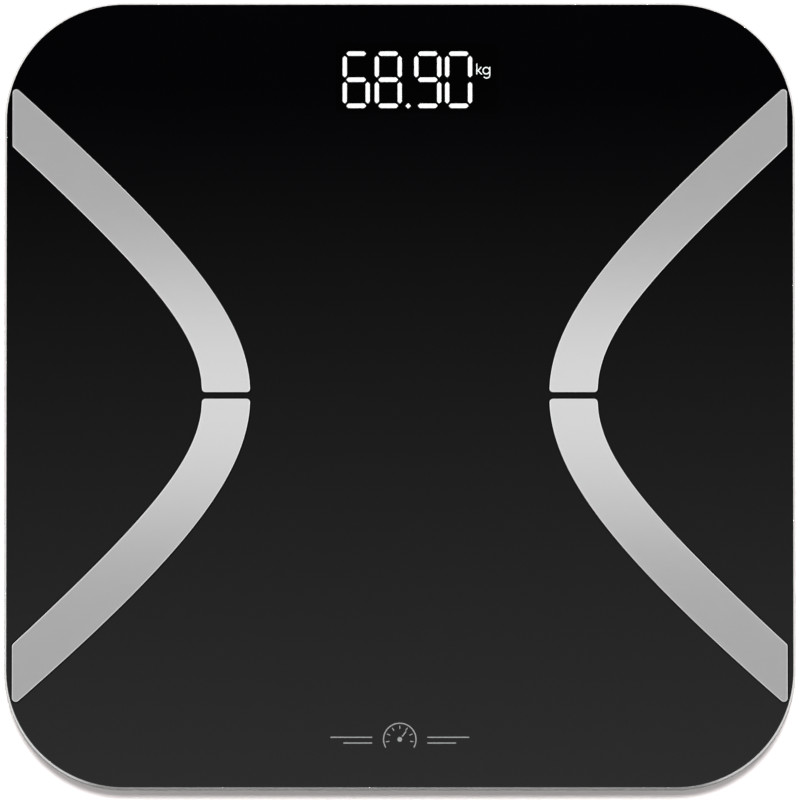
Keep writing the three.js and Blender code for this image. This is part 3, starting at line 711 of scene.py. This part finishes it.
ELECTRODE_SPLIT = 2.6
ELECTRODE_SIDE_MARGIN = 3.1
ELECTRODE_EDGE = 0.2
STUD_RADIUS = 2.5
STUD_BOTTOM = 17.0
# Reach and height of the black ring that paints contact shade round each electrode.
SHADE_LINE_REACH = 0.5
SHADE_LINE_HEIGHT = 0.12
OUTER_EDGE = {"waist": 75.4, "bend": 44.2, "slope": 1.149, "power": 2.165}
INNER_EDGES = {
    "rear": {"waist": 57.1, "bend": 69.9, "slope": 1.227, "power": 2.08},
    "front": {"waist": 57.1, "bend": 84.6, "slope": 1.299, "power": 2.043},
}


def bent_x(y, waist, bend, slope, power):
    """A bent edge: parallel to Y at its waist, and straight out towards the corner of the plate."""
    return waist - bend + (bend ** power + (slope * y) ** power) ** (1 / power)


def bent_y(x, waist, bend, slope, power):
    return ((x - waist + bend) ** power - bend ** power) ** (1 / power) / slope


def bent_edge(edge, y0, y1, steps=56):
    ys = [y0 + (y1 - y0) * i / steps for i in range(steps + 1)]
    return [(bent_x(y, **edge), y) for y in ys]


def electrode_outline(inner_edge):
    """Anticlockwise outline of the electrode in the rear right quarter."""
    side_x = PLATE_HALF - ELECTRODE_SIDE_MARGIN
    split_y = ELECTRODE_SPLIT / 2
    inner = bent_edge(inner_edge, bent_y(side_x, **inner_edge), split_y)
    outer = bent_edge(OUTER_EDGE, split_y, bent_y(side_x, **OUTER_EDGE))
    path = inner + outer
    radii = [0.0] * len(path)
    radii[0], radii[len(inner) - 1], radii[len(inner)], radii[-1] = 1.5, 1.3, 1.3, 1.2
    return rounded_path(path, radii)


def first_beyond(path, i, step, reach, dropped):
    """The first point beyond the reach of point i, one way along the path; the nearer ones are dropped."""
    j = (i + step) % len(path)
    while (Vector(path[j]) - Vector(path[i])).length < reach:
        dropped.add(j)
        j = (j + step) % len(path)
    return path[j]


def rounded_path(path, radii):
    """Rounds the few sharp corners of a finely stepped outline, dropping the points that an arc passes."""
    dropped = set()
    arcs = {}
    for i, radius in enumerate(radii):
        if radius:
            before, after = [first_beyond(path, i, step, 2.6 * radius, dropped) for step in (-1, 1)]
            arcs[i] = rounded_corner(before, path[i], after, radius, 10)
    points = []
    for i, at in enumerate(path):
        if i in arcs:
            points += arcs[i]
        elif i not in dropped:
            points.append(at)
    return points


def electrode(name, end, sx, sy):
    node = f"electrode_{name}"
    outline = mirrored(electrode_outline(INNER_EDGES[end]), sx, sy)
    bottom, top = PLATE_TOP, high(node).z
    edge = ELECTRODE_EDGE
    path = [(0.1, bottom), (0, bottom + 0.05), (0, top - edge / 2), (edge, top), (edge + 0.3, top)]
    shape = Shape()
    rings = shape.skin(lambda d: inset(outline, d), softened(path, [0, 0.03, 0.06, 0.14, 0]))
    stud = mirrored(circle(*STUD_AT, STUD_RADIUS, 32), sx, sy)
    tip = [(0.4, STUD_BOTTOM), (0, STUD_BOTTOM + 0.4), (0, bottom)]
    stud_rings = shape.skin(lambda d: inset(stud, d), tip)
    shape.fill([stud_rings[0]], False)
    shape.fill([rings[0], stud_rings[-1]], False, None, 6.0)
    shape.fill([rings[-1]], True, None, 6.0)
    return placed(to_object(f"steel_electrode_{name}", shape, "steel"), "satin_steel", node)


def painted_shade_line(name, end, sx, sy):
    """A thin matte black ring round an electrode: painted shade that draws the dark contact-shade line
    along its edge.
    """
    outline = mirrored(electrode_outline(INNER_EDGES[end]), sx, sy)
    bottom = PLATE_TOP + 0.005
    top = bottom + SHADE_LINE_HEIGHT
    shape = Shape()
    profile = [(-SHADE_LINE_REACH, bottom), (0.08 - SHADE_LINE_REACH, top), (-0.03, top), (-0.03, bottom)]
    rings = shape.skin(lambda d: inset(outline, d), profile)
    shape.bridge(rings[-1], rings[0])
    # The ring is painted shade, not a rubber seal; the finish named here is not used.
    return placed(to_object(f"electrode_painted_shade_line_{name}", shape, "painted_shade_line"), "soft_rubber")


# ---- display

DIGITS = "6890"
DIGIT_CENTRES = (-16.65, -4.4, 10.7, 22.5)
DIGIT_WIDTH = 8.76
ROW_PITCH = 10.05
BAR = {"width": 1.58, "rise": 8.2, "run": 7.55, "tip": 0.8}
MIDDLE_BARS = 15.18
POINT = {"x": 3.2, "half": 1.02}
UNIT_SIGN = {"x0": 29.25, "baseline": 1.95, "x_height": 2.9, "ascent": 4.2, "line": 0.4}
UNIT_INSERT = {"x0": 28.9, "x1": 34.7, "rise": 0.1, "height": 6.6}
BARS = {
    "bottom": (0, -1),
    "middle": (0, 0),
    "top": (0, 1),
    "lower_left": (-1, -1),
    "upper_left": (-1, 1),
    "lower_right": (1, -1),
    "upper_right": (1, 1),
}
UNLIT = {"6": {"upper_right"}, "8": set(), "9": {"lower_left"}, "0": {"middle"}}


def digit_row():
    """Y of the middle bars, from the display's own place."""
    return low("display_housing").y + MIDDLE_BARS


def bar_outline(centre_x, centre_y, flat):
    long = (BAR["run"] if flat else BAR["rise"]) / 2
    wide = BAR["width"] / 2
    shoulder = long - BAR["tip"]
    path = [(long, 0), (shoulder, wide), (-shoulder, wide)]
    path += [(-x, -y) for x, y in path]
    if not flat:
        path = [(-y, x) for x, y in path]
    path = [(centre_x + x, centre_y + y) for x, y in path]
    return softened(path, 0.22, closed=True, steps=3)


def digit_outlines(lit):
    """Outlines of the bars that are lit, or of those that aren't."""
    outlines = []
    for centre, figure in zip(DIGIT_CENTRES, DIGITS):
        for name, (side, row) in BARS.items():
            if (name in UNLIT[figure]) == lit:
                continue
            flat = side == 0
            y = digit_row() + row * (ROW_PITCH if flat else ROW_PITCH / 2)
            outlines.append(bar_outline(centre + side * DIGIT_WIDTH / 2, y, flat))
    return outlines


def point_outline():
    x, y, half = POINT["x"], digit_row() - ROW_PITCH, POINT["half"]
    path = [(x + half, y), (x, y + half), (x - half, y), (x, y - half)]
    return softened(path, 0.2, closed=True, steps=3)


def letter_k(x, base):
    """A lower-case k as strokes: an upright and two legs."""
    line, x_height = UNIT_SIGN["line"], UNIT_SIGN["x_height"]
    joint, right = base + x_height * 0.42, x + 2.05
    return [
        stroke(x + line / 2, base, x + line / 2, base + UNIT_SIGN["ascent"], line),
        stroke(x + line * 1.02, joint, right - 0.1, base + x_height, line * 0.9),
        stroke(x + line * 1.7, joint + 0.28, right, base, line * 0.9),
    ]


def letter_g(x, base):
    """A lower-case g as strokes: a bowl, and an upright beside it that ends in a hook under both."""
    line, x_height = UNIT_SIGN["line"], UNIT_SIGN["x_height"]
    radius = (x_height - line) / 2
    cx, cy = x + radius + line / 2, base + x_height / 2
    right = cx + radius + line * 0.3
    drop = base - 0.15
    outer = arc(right - radius, drop, radius + line / 2, 215, 360, 16)
    inner = arc(right - radius, drop, radius - line / 2, 360, 215, 16)
    top = [(right + line / 2, base + x_height), (right - line / 2, base + x_height)]
    return [ribbon(cx, cy, radius, 22, 338, line, 28), outer + top + inner]


def unit_outlines():
    base = digit_row() + UNIT_SIGN["baseline"]
    return letter_k(UNIT_SIGN["x0"], base) + letter_g(UNIT_SIGN["x0"] + 2.35, base)


def unit_insert():
    """The dark tile that the unit sign stands on."""
    y0 = digit_row() + UNIT_INSERT["rise"]
    x0, x1 = UNIT_INSERT["x0"], UNIT_INSERT["x1"]
    return rounded_rectangle(x0, x1, y0, y0 + UNIT_INSERT["height"], 0.3, 3)


def flat_bars(name, outlines, bottom, top, look):
    """Low prisms with slightly rounded top edges, as one piece."""
    shape = Shape()
    for outline in outlines:
        profile = [(0, bottom), (0, top - 0.05), (0.05, top)]
        loft(lambda d, outline=outline: inset(outline, d), profile, shape)
    return to_object(name, shape, look)


def display():
    top = high("display_housing").z
    face = top - 1.3
    shown = [*digit_outlines(True), point_outline()]
    placed(flat_bars("lit_segments", shown, face, top, "lit"), "lit_diffuser", "display_diffuser")
    placed(flat_bars("unlit_segments", digit_outlines(False), face, top, "unlit"), "lit_diffuser")
    placed(flat_bars("unit_insert", [unit_insert()], face, top - 0.1, "mask"), "display_mask")
    placed(flat_bars("unit_letters", unit_outlines(), top - 0.25, top + 0.02, "lit"), "lit_diffuser")
    lo, hi = low("display_diffuser"), high("display_diffuser")
    guide = loft(
        lambda d: rounded_rectangle(lo.x + d, hi.x - d, lo.y + d, hi.y - d, 0.8, 4),
        plate_profile(lo.z, face - 0.1, 0.3),
    )
    placed(to_object("light_guide", guide, "unlit"), "lit_diffuser")


# ---- base cover

COVER = {"corner": 40.0, "wall": 2.0, "round": 6.0, "flange_inner": 138.0, "flange": 1.5}
FOOT_AT = 105.0
FOOT_HOLE = 21.0
SCREW_OFFSET = -21.0
DOOR_GAP = 0.3
TUB = {"y": 30.0, "half_x": 25.5, "half_y": 22.9, "wall": 1.5, "roof": 17.7}
DOOR_FRONT, DOOR_REAR = TUB["y"] - 30.0, TUB["y"] + 30.0
LEDGE = {"rise": 2.0, "width": 3.0}
SCREW_BOSS = {"radius": 4.5, "rise": 2.35, "bore": 1.7}
BOARD_POST = {"radius": 3.0, "bore": 1.25, "depth": 9.0}
RIBS = {"half": 0.6, "rise": 1.6, "y": (-75, -35, 80), "x": (-50, 50)}
HOOK_X = 16.0
LATCH_HALF = 7.0
SCOOP_BACK = 3.5
LABEL = {"half_x": 34.0, "y0": -66.0, "y1": -24.0, "depth": 0.25}


def cover_outline(distance):
    return rounded_square(COVER_HALF - distance, COVER["corner"] - distance, 16)


def cover_shell():
    """The tray: up its outside, over its flanged rim, and down to its floor inside."""
    bottom, rim, wall = COVER_BOTTOM, COVER_TOP, COVER["wall"]
    lip = COVER_HALF - COVER["flange_inner"]
    under = rim - COVER["flange"]
    path = [(11, bottom), (0, bottom), (0, rim), (lip, rim), (lip, under), (wall, under)]
    path += [(wall, bottom + wall), (11, bottom + wall)]
    profile = softened(path, [0, COVER["round"], 0.5, 0.25, 0.2, 0.3, COVER["round"] - wall, 0], steps=6)
    return loft(cover_outline, profile)


def corner_places():
    """The middle of each foot, and of the screw beside it."""
    inner = FOOT_AT + SCREW_OFFSET
    return [((sx * FOOT_AT, sy * FOOT_AT), (sx * inner, sy * inner)) for _, sx, sy in CORNERS]


def board_screws():
    return [middle(f"board_screw_{side}") for side, _ in SIDES]


def cover_additions(floor):
    added = []
    for foot_at, screw_at in corner_places():
        added.append(cylinder(*foot_at, FOOT_HOLE + 2, floor - 1, floor + 2, 64))
        added.append(cylinder(*screw_at, SCREW_BOSS["radius"], floor - 1, floor + SCREW_BOSS["rise"], 32))
    top = low("main_board").z - 0.02
    return added + [cylinder(at.x, at.y, BOARD_POST["radius"], floor - 1, top, 32) for at in board_screws()]


def cover_ribs(floor):
    reach = COVER_HALF - COVER["round"]
    half, top = RIBS["half"], floor + RIBS["rise"]
    ribs = [block(-reach, reach, y - half, y + half, floor - 0.5, top) for y in RIBS["y"]]
    back = low("main_board").y - 3
    return ribs + [block(x - half, x + half, -reach, back, floor - 0.5, top) for x in RIBS["x"]]


def tub_walls(floor, rim):
    bottom = floor - 0.1
    outer_x, outer_y = TUB["half_x"] + TUB["wall"], TUB["half_y"] + TUB["wall"]
    door = middle("battery_door")
    ledge_x = high("battery_door").x + DOOR_GAP + LEDGE["width"]
    ledge_y0 = DOOR_FRONT - DOOR_GAP - LEDGE["width"]
    ledge_y1 = DOOR_REAR + DOOR_GAP + LEDGE["width"]
    return [
        block(-outer_x, outer_x, TUB["y"] - outer_y, TUB["y"] + outer_y, bottom, rim),
        block(door.x - ledge_x, door.x + ledge_x, ledge_y0, ledge_y1, bottom, bottom + LEDGE["rise"]),
    ]


def cover_openings(bottom, floor, rim):
    removed = []
    mouth = [(0, 0), (FOOT_HOLE + 1.4, 0), (FOOT_HOLE + 0.7, bottom), (FOOT_HOLE, bottom + 0.7)]
    mouth += [(FOOT_HOLE, rim), (0, rim)]
    sink = [(0, 0), (4.2, 0), (3.7, bottom), (3.3, bottom + 0.4), (3.3, bottom + 2), (0, bottom + 2)]
    for foot_at, screw_at in corner_places():
        removed.append(turned(mouth, 72, *foot_at))
        removed.append(cylinder(*screw_at, SCREW_BOSS["bore"], 0, rim, 24))
        removed.append(turned(sink, 40, *screw_at))
    bore, top = BOARD_POST["bore"], floor + BOARD_POST["depth"]
    removed += [cylinder(at.x, at.y, bore, floor, top, 20) for at in board_screws()]
    return removed + battery_openings(bottom, floor) + button_openings(floor, rim)


def battery_openings(bottom, floor):
    half_x, half_y, y = TUB["half_x"], TUB["half_y"], TUB["y"]
    y0, y1 = DOOR_FRONT, DOOR_REAR
    door_x = high("battery_door").x + DOOR_GAP
    slot_top = floor + LEDGE["rise"] + 0.9
    hooks = [sx * HOOK_X for _, sx in SIDES]
    tails = [middle("contact_negative").y, middle("contact_positive").y]
    return [
        block(-half_x, half_x, y - half_y, y + half_y, bottom - 1, TUB["roof"]),
        block(-door_x, door_x, y0 - DOOR_GAP, y1 + DOOR_GAP, 0, floor - 0.1, 2.0),
        *[block(x - 4, x + 4, y0 - DOOR_GAP, y0 + 5, bottom, slot_top) for x in hooks],
        block(-LATCH_HALF - 1, LATCH_HALF + 1, y1 - 3.1, y1 + DOOR_GAP, bottom, slot_top),
        finger_scoop(y1, bottom),
        *[block(-half_x - 2.5, -half_x + 1, t - 1.9, t + 1.9, 13.6, 14.8) for t in tails],
    ]


def finger_scoop(y, bottom):
    """A shallow round scoop behind the door's latch, wider at its mouth."""
    profile = [(0, 0), (9.2, 0), (8.6, bottom), (7.4, bottom + 0.75), (6.6, bottom + 1), (0, bottom + 1)]
    return turned(profile, 56, 0, y + SCOOP_BACK)


def button_openings(floor, rim):
    at = middle("unit_button")
    hole = (high("unit_button").x - low("unit_button").x) / 2
    mouth = [(0, 0), (5.4, 0), (4.7, floor - 2), (4.3, floor - 1.6), (4.3, rim), (0, rim)]
    return [
        turned(mouth, 48, at.x, at.y),
        cylinder(at.x, at.y, hole + 0.6, floor, rim, 48),
    ]


def label_recess(bottom):
    """A blank, shallow recess where such a scale carries its rating plate."""
    half_x = LABEL["half_x"]
    return block(-half_x, half_x, LABEL["y0"], LABEL["y1"], 0, bottom + LABEL["depth"], 3.0)


def base_cover():
    bottom, rim = COVER_BOTTOM, COVER_TOP
    floor = bottom + COVER["wall"]
    added = cover_additions(floor) + cover_ribs(floor) + tub_walls(floor, rim)
    removed = cover_openings(bottom, floor, rim) + [label_recess(bottom)]
    mesh = carved(cover_shell(), added, removed)
    piece = mesh_object("moulded_base_cover", mesh, "cover", smooth=32)
    return placed(piece, "moulded_plastic", "base_cover")


# ---- feet, screws, button and door

FOOT = {"seat": 17.2, "neck": 9.0, "peg": 2.5, "shoulder": 7.5, "collar": 10.5}
TREAD = {"radius": 17.0, "dimple": 3.0, "depth": 0.5, "grooves": (6.5, 11.0), "groove": 1.2, "deep": 0.6}


def tread_path(seat):
    """A rubber tread from its dimple, over its round grooves, to its edge."""
    dimple, radius, deep = TREAD["dimple"], TREAD["radius"], TREAD["deep"]
    path = [(0, TREAD["depth"]), (dimple, TREAD["depth"]), (dimple, 0)]
    for start in TREAD["grooves"]:
        end = start + TREAD["groove"]
        path += [(start, 0), (start, deep), (end, deep), (end, 0)]
    return path + [(radius, 0), (radius, seat), (0, seat)]


def foot(name):
    node, pad = f"foot_{name}", f"foot_pad_{name}"
    x, y = middle(node).x, middle(node).y
    lo, hi = low(node), high(node)
    radius, seat = (hi.x - lo.x) / 2, high(pad).z
    bed, neck, peg = FOOT["seat"], FOOT["neck"], FOOT["peg"]
    shoulder, collar = FOOT["shoulder"], FOOT["collar"]
    path = [(0, seat), (bed, seat), (bed, lo.z), (radius, lo.z), (radius, shoulder), (neck, shoulder)]
    path += [(neck, collar), (peg, collar), (peg, hi.z), (0, hi.z)]
    profile = softened(path, [0, 0.2, 0.2, 0.8, 0.5, 0.6, 0.4, 0.3, 0.4, 0], steps=4)
    cup = to_object(f"foot_cup_{name}", turned(profile, 80, x, y), "cover")
    placed(cup, "moulded_plastic", node, body=f"{name}_foot")
    radii = [0, 0.1, *[0.15] * 9, 0.8, 0.1, 0]
    shape = turned(softened(tread_path(seat), radii, steps=3), 80, x, y)
    placed(to_object(f"foot_rubber_{name}", shape, "rubber"), "soft_rubber", pad, body=f"{name}_foot")


def cross_recess(x, y, z, reach, depth):
    """Two tapered bars that cut a cross into a screw's head."""
    def bar(across, share, side):
        half_x, half_y = (reach * share, side) if across else (side, reach * share)
        return rounded_rectangle(x - half_x, x + half_x, y - half_y, y + half_y, side * 0.6, 2)

    taper = [((1.05, 0.42), z - 0.5), ((0.62, 0.26), z + depth)]
    return [loft(lambda size, across=across: bar(across, *size), taper) for across in (True, False)]


THREAD = {"shank": 1.5, "root": 1.15, "pitch": 0.9}


def cover_screw(name):
    node = f"cover_screw_{name}"
    lo, hi, at = low(node), high(node), middle(node)
    head = (hi.x - lo.x) / 2
    shank, root, pitch = THREAD["shank"], THREAD["root"], THREAD["pitch"]
    under = lo.z + 1.6
    path = [(0, lo.z), (head * 0.7, lo.z + 0.12), (head, lo.z + 0.55), (head, under), (shank, under)]
    thread = []
    z = under + 0.6
    while z + pitch < hi.z - 1.2:
        thread += [(root, z), (shank, z + pitch * 0.4), (shank, z + pitch * 0.5), (root, z + pitch * 0.9)]
        z += pitch
    body = turned([*path, *thread, (1.1, hi.z - 1.0), (0.25, hi.z), (0, hi.z)], 28, at.x, at.y)
    mesh = carved(body, (), cross_recess(at.x, at.y, lo.z, head * 0.62, 0.9))
    placed(mesh_object(f"base_screw_{name}", mesh, "zinc"), "zinc_steel", node)


def unit_button():
    lo, hi, at = low("unit_button"), high("unit_button"), middle("unit_button")
    flange = (hi.x - lo.x) / 2
    neck_top = hi.z - 0.4
    crown = [(0, lo.z + 0.35), (2.4, lo.z + 0.12), (4, lo.z)]
    path = [*crown, (4, neck_top), (flange, neck_top), (flange, hi.z), (0, hi.z)]
    profile = softened(path, [0, 1.5, 0.6, 0.1, 0.1, 0.1, 0], steps=5)
    piece = to_object("unit_change_button", turned(profile, 64, at.x, at.y), "grey")
    placed(piece, "grey_plastic", "unit_button", body="button")


def grip_rib(y, half, z0, z1):
    outline = rounded_rectangle(-half, half, y - 0.6, y + 0.6, 0.4, 6)
    return loft(lambda d: inset(outline, d), [(0, z1), (0, z0 + 0.25), (0.07, z0 + 0.1), (0.25, z0)])


def door_arrow(y, z0, z1):
    """A raised triangle that points to the edge where the door opens."""
    outline = softened([(-4.5, y - 3), (4.5, y - 3), (0, y + 3)], 0.5, closed=True, steps=3)
    return loft(lambda d: inset(outline, d), [(0, z1), (0, z0 + 0.15), (0.15, z0)])


def battery_door():
    bottom = COVER_BOTTOM
    top = bottom + 1.6
    half_x = high("battery_door").x
    y0, y1 = DOOR_FRONT, DOOR_REAR
    hook_top, latch_top = 9.9, 9.4
    plate = loft(
        lambda d: rounded_rectangle(-half_x + d, half_x - d, y0 + d, y1 - d, 2.0 - 0.5 * d, 6),
        plate_profile(bottom, top, 0.3),
    )
    added = []
    for _, sx in SIDES:
        x0, x1, face = sx * HOOK_X - 3, sx * HOOK_X + 3, y0 + 0.2
        added.append(block(x0, x1, face, face + 1.6, top - 0.5, hook_top))
        added.append(block(x0, x1, face - 2, face + 0.1, hook_top - 0.7, hook_top))
    added.append(block(-LATCH_HALF, LATCH_HALF, y1 - 1.6, y1 - 0.2, top - 0.5, latch_top))
    added += [grip_rib(y1 - inward, 9, low("battery_door").z, bottom + 0.5) for inward in (6, 9, 12)]
    added.append(door_arrow(y1 - 20, bottom - 0.3, bottom + 0.4))
    mesh = carved(plate, added)
    piece = mesh_object("battery_hatch", mesh, "cover", smooth=32)
    placed(piece, "moulded_plastic", "battery_door", body="door")


# ---- cells

CELL = {"dish": 3.0, "nub": 1.9}


def battery(index):
    node = f"battery_{index}"
    lo, hi, at = low(node), high(node), middle(node)
    length, radius = hi.x - lo.x, (hi.z - lo.z) / 2
    shoulder = length - 1.0
    dish, nub = CELL["dish"], CELL["nub"]
    path = [(0, 0.2), (dish, 0.2), (dish, 0), (radius - 0.35, 0), (radius, 0.5), (radius, shoulder - 0.5)]
    path += [(radius - 0.5, shoulder), (nub, shoulder), (nub, length), (0, length)]
    profile = softened(path, [0, 0.1, 0.1, 0.3, 0.2, 0.3, 0.2, 0.1, 0.3, 0], steps=3)
    shape = turned(profile, 48)
    for number, face in enumerate(shape.faces):
        zs = [shape.points[i][2] for i in face]
        reach = max(math.hypot(*shape.points[i][:2]) for i in face)
        bare = min(zs) < 0.4 or min(zs) > shoulder - 0.3 or reach < radius - 0.6
        shape.slots[number] = 1 if bare else 0
    turn = 1 if index % 2 else -1
    shape.points = [(turn * (z - length / 2), turn * y, x) for x, y, z in shape.points]
    shape.faces = [face[::-1] for face in shape.faces]
    piece = to_object(f"dry_cell_{index}", shape, "cell", "nickel")
    piece.location = at * MM
    placed(piece, "battery_sleeve", node)


# ---- CAD nodes that stay

KEPT = {
    "perimeter_tape": "foam",
    "load_cell_": "nickel",
    "load_cell_bracket_": "grey",
    "load_cell_lead_": "pale",
    "electrode_lead_": "pale",
    "main_board": "board",
    "board_screw_": "zinc",
    "controller_chip": "chip",
    "display_housing": "mask",
    "switch_plunger": "chip",
    "tact_switch": "zinc",
    "contact_": "nickel",
    "battery_lead_black": "black",
    "battery_lead_red": "red",
}


def look_of(node):
    """The look of the longest name in KEPT that the node's name starts with."""
    found = [start for start in KEPT if node.startswith(start)]
    return LOOKS[KEPT[max(found, key=len)]]


def dress_kept_nodes():
    for name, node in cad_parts.items():
        if node.hide_render:
            continue
        for slot in node.material_slots:
            slot.material = look_of(name)


# ---- stage, light and camera

TILT = 5.75
CAMERA_DISTANCE = 12000.0
VIEW_WIDTH = 305.4
AIM = (0.08, -1.72)


def only_lights(lamp, pieces):
    """The lamp lights these pieces and nothing else."""
    group = bpy.data.collections.new(f"lit_by_{lamp.name}")
    for piece in pieces:
        group.objects.link(piece)
    lamp.light_linking.receiver_collection = group


def floor():
    shape = Shape()
    shape.fill([shape.ring(rounded_square(40000, 4000, 8), 0.0)], True)
    piece = to_object("floor", shape, "floor")
    piece.location.z = -0.05 * MM


def axes(tree, coordinates):
    """The X, Y and Z of each point of a look."""
    place = add_node(tree, "ShaderNodeTexCoord")
    split = add_node(tree, "ShaderNodeSeparateXYZ")
    tree.links.new(place.outputs[coordinates], split.inputs[0])
    return split.outputs


def grey_ramp(tree, value, stops):
    """Greys between [position, grey] stops, of which the first is at 0 and the last at 1."""
    ramp = add_node(tree, "ShaderNodeValToRGB")
    tree.links.new(value, ramp.inputs["Fac"])
    elements = ramp.color_ramp.elements
    for position, _ in stops[1:-1]:
        elements.new(position)
    for element, (_, grey) in zip(elements, stops):
        element.color = (grey, grey, grey, 1)
    return ramp.outputs["Color"]


def soft_sky():
    """Bright at mid height all round, dim overhead, and dim low down at the front."""
    world = bpy.data.worlds.new("soft_sky")
    bpy.context.scene.world = world
    world.use_nodes = True
    tree = world.node_tree
    along = axes(tree, "Generated")
    height = grey_ramp(tree, along["Z"], [(0, 0.9), (0.6, 0.95), (0.82, 0.45), (0.94, 0.06), (1, 0.012)])
    fade = limits(-0.995, -0.86, 0.1, 1)
    front = add_node(tree, "ShaderNodeMapRange", interpolation_type="SMOOTHSTEP", **fade)
    tree.links.new(along["Y"], front.inputs["Value"])
    dim = add_node(tree, "ShaderNodeMix", data_type="RGBA", blend_type="MULTIPLY", Factor=1.0)
    tree.links.new(height, dim.inputs[6])
    tree.links.new(front.outputs["Result"], dim.inputs[7])
    sky = tree.nodes["Background"]
    tree.links.new(dim.outputs[2], sky.inputs["Color"])
    sky.inputs["Strength"].default_value = 1.25


def glow_card(name, height, outline, profile, pieces):
    """A card that only these pieces reflect; profile gives [y, radiance] stops from the front."""
    shape = Shape()
    shape.fill([shape.ring(outline, height)], False)
    look = LOOKS[name] = bpy.data.materials.new(name)
    look.use_nodes = True
    tree = look.node_tree
    tree.nodes.remove(tree.nodes["Principled BSDF"])
    start, end = profile[0][0], profile[-1][0]
    share = add_node(tree, "ShaderNodeMapRange", From_Min=start * MM, From_Max=end * MM)
    tree.links.new(axes(tree, "Object")["Y"], share.inputs["Value"])
    stops = [((y - start) / (end - start), radiance) for y, radiance in profile]
    light = add_node(tree, "ShaderNodeEmission")
    tree.links.new(grey_ramp(tree, share.outputs["Result"], stops), light.inputs["Color"])
    tree.links.new(light.outputs[0], tree.nodes["Material Output"].inputs["Surface"])
    card = to_object(name, shape, name)
    card.visible_camera = card.visible_diffuse = card.visible_shadow = card.visible_transmission = False
    only_lights(card, pieces)


def black_glass_card(pieces):
    """Dark at the rear and glowing towards the front, as a softbox in front of the plate shows in it."""
    height = 1000.0
    shift = height * math.tan(math.radians(TILT))
    reach = 1 + height / CAMERA_DISTANCE
    front, rear = -155.0 * reach + shift, 115.0 * reach + shift
    stops = []
    for step in range(9):
        share = step / 8
        stops.append((front + (rear - front) * share, 0.63 * (1 - share) ** 1.2))
    glow_card("glass_card", height, [(400, 700), (-400, 700), (-400, -300), (400, -300)], stops, pieces)


def aimed(made, direction):
    made.rotation_mode = "QUATERNION"
    made.rotation_quaternion = direction.to_track_quat("-Z", "Y")


def lamp(name, kind, power, place, **settings):
    data = bpy.data.lights.new(name, kind)
    data.energy = power
    for key, value in settings.items():
        setattr(data, key, value)
    made = linked(name, data)
    made.location = Vector(place) * MM
    aimed(made, -made.location)
    return made


def steel_lights(pieces):
    """An even soft light for the steel alone, and narrower ones that stack up over its middle."""
    height = 100.0
    shift = height * math.tan(math.radians(TILT))
    lamps = [soft_panel("steel_even", 0.43, (900, 900), (0, 20, 320))]
    above = PLATE_TOP + height
    for number, half in enumerate((61, 48, 36, 22)):
        place = (0, shift, above + 3 * number)
        lamps.append(soft_panel(f"steel_band_{number + 1}", 0.112, (1000, 2 * half), place))
    for light in lamps:
        only_lights(light, pieces)


def soft_panel(name, radiance, size, place):
    """A rectangular lamp that looks straight down and is as bright as stated."""
    wide, deep = size[0] * MM, size[1] * MM
    sizes = {"shape": "RECTANGLE", "size": wide, "size_y": deep}
    made = lamp(name, "AREA", radiance * math.pi * wide * deep, place, **sizes)
    made.rotation_quaternion = (1, 0, 0, 0)
    made.visible_camera = False
    return made


def key_light():
    """Almost overhead and a little behind, so that the only shadow shows under the front edge."""
    tilt = math.radians(4.3)
    place = (0, 3000 * math.sin(tilt), 3000 * math.cos(tilt))
    key = lamp("key", "SUN", 5.9, place, angle=math.radians(10.5))
    key.visible_glossy = False


def camera():
    data = bpy.data.cameras.new("camera")
    made = linked("camera", data)
    data.sensor_width = 36.0
    data.lens = data.sensor_width * CAMERA_DISTANCE / VIEW_WIDTH
    data.clip_start, data.clip_end = 0.5, 200.0
    tilt = math.radians(TILT)
    aim = Vector((*AIM, PLATE_TOP)) * MM
    back = Vector((0, -math.sin(tilt), math.cos(tilt)))
    made.location = aim + back * (CAMERA_DISTANCE * MM)
    aimed(made, -back)
    bpy.context.scene.camera = made


# ---- the whole scene

def build():
    dark = [glass_platform()]
    steel = []
    for name, sx, sy in CORNERS:
        end = name.split("_")[0]
        steel.append(electrode(name, end, sx, sy))
        dark.append(painted_shade_line(name, end, sx, sy))
        foot(name)
        cover_screw(name)
    display()
    base_cover()
    unit_button()
    battery_door()
    for index in (1, 2, 3, 4):
        battery(index)
    dress_kept_nodes()
    return dark, steel


dark_pieces, steel_pieces = build()
floor()
soft_sky()
black_glass_card(dark_pieces)
steel_lights(steel_pieces)
key_light()
camera()
bpy.context.scene.view_settings.view_transform = "Standard"
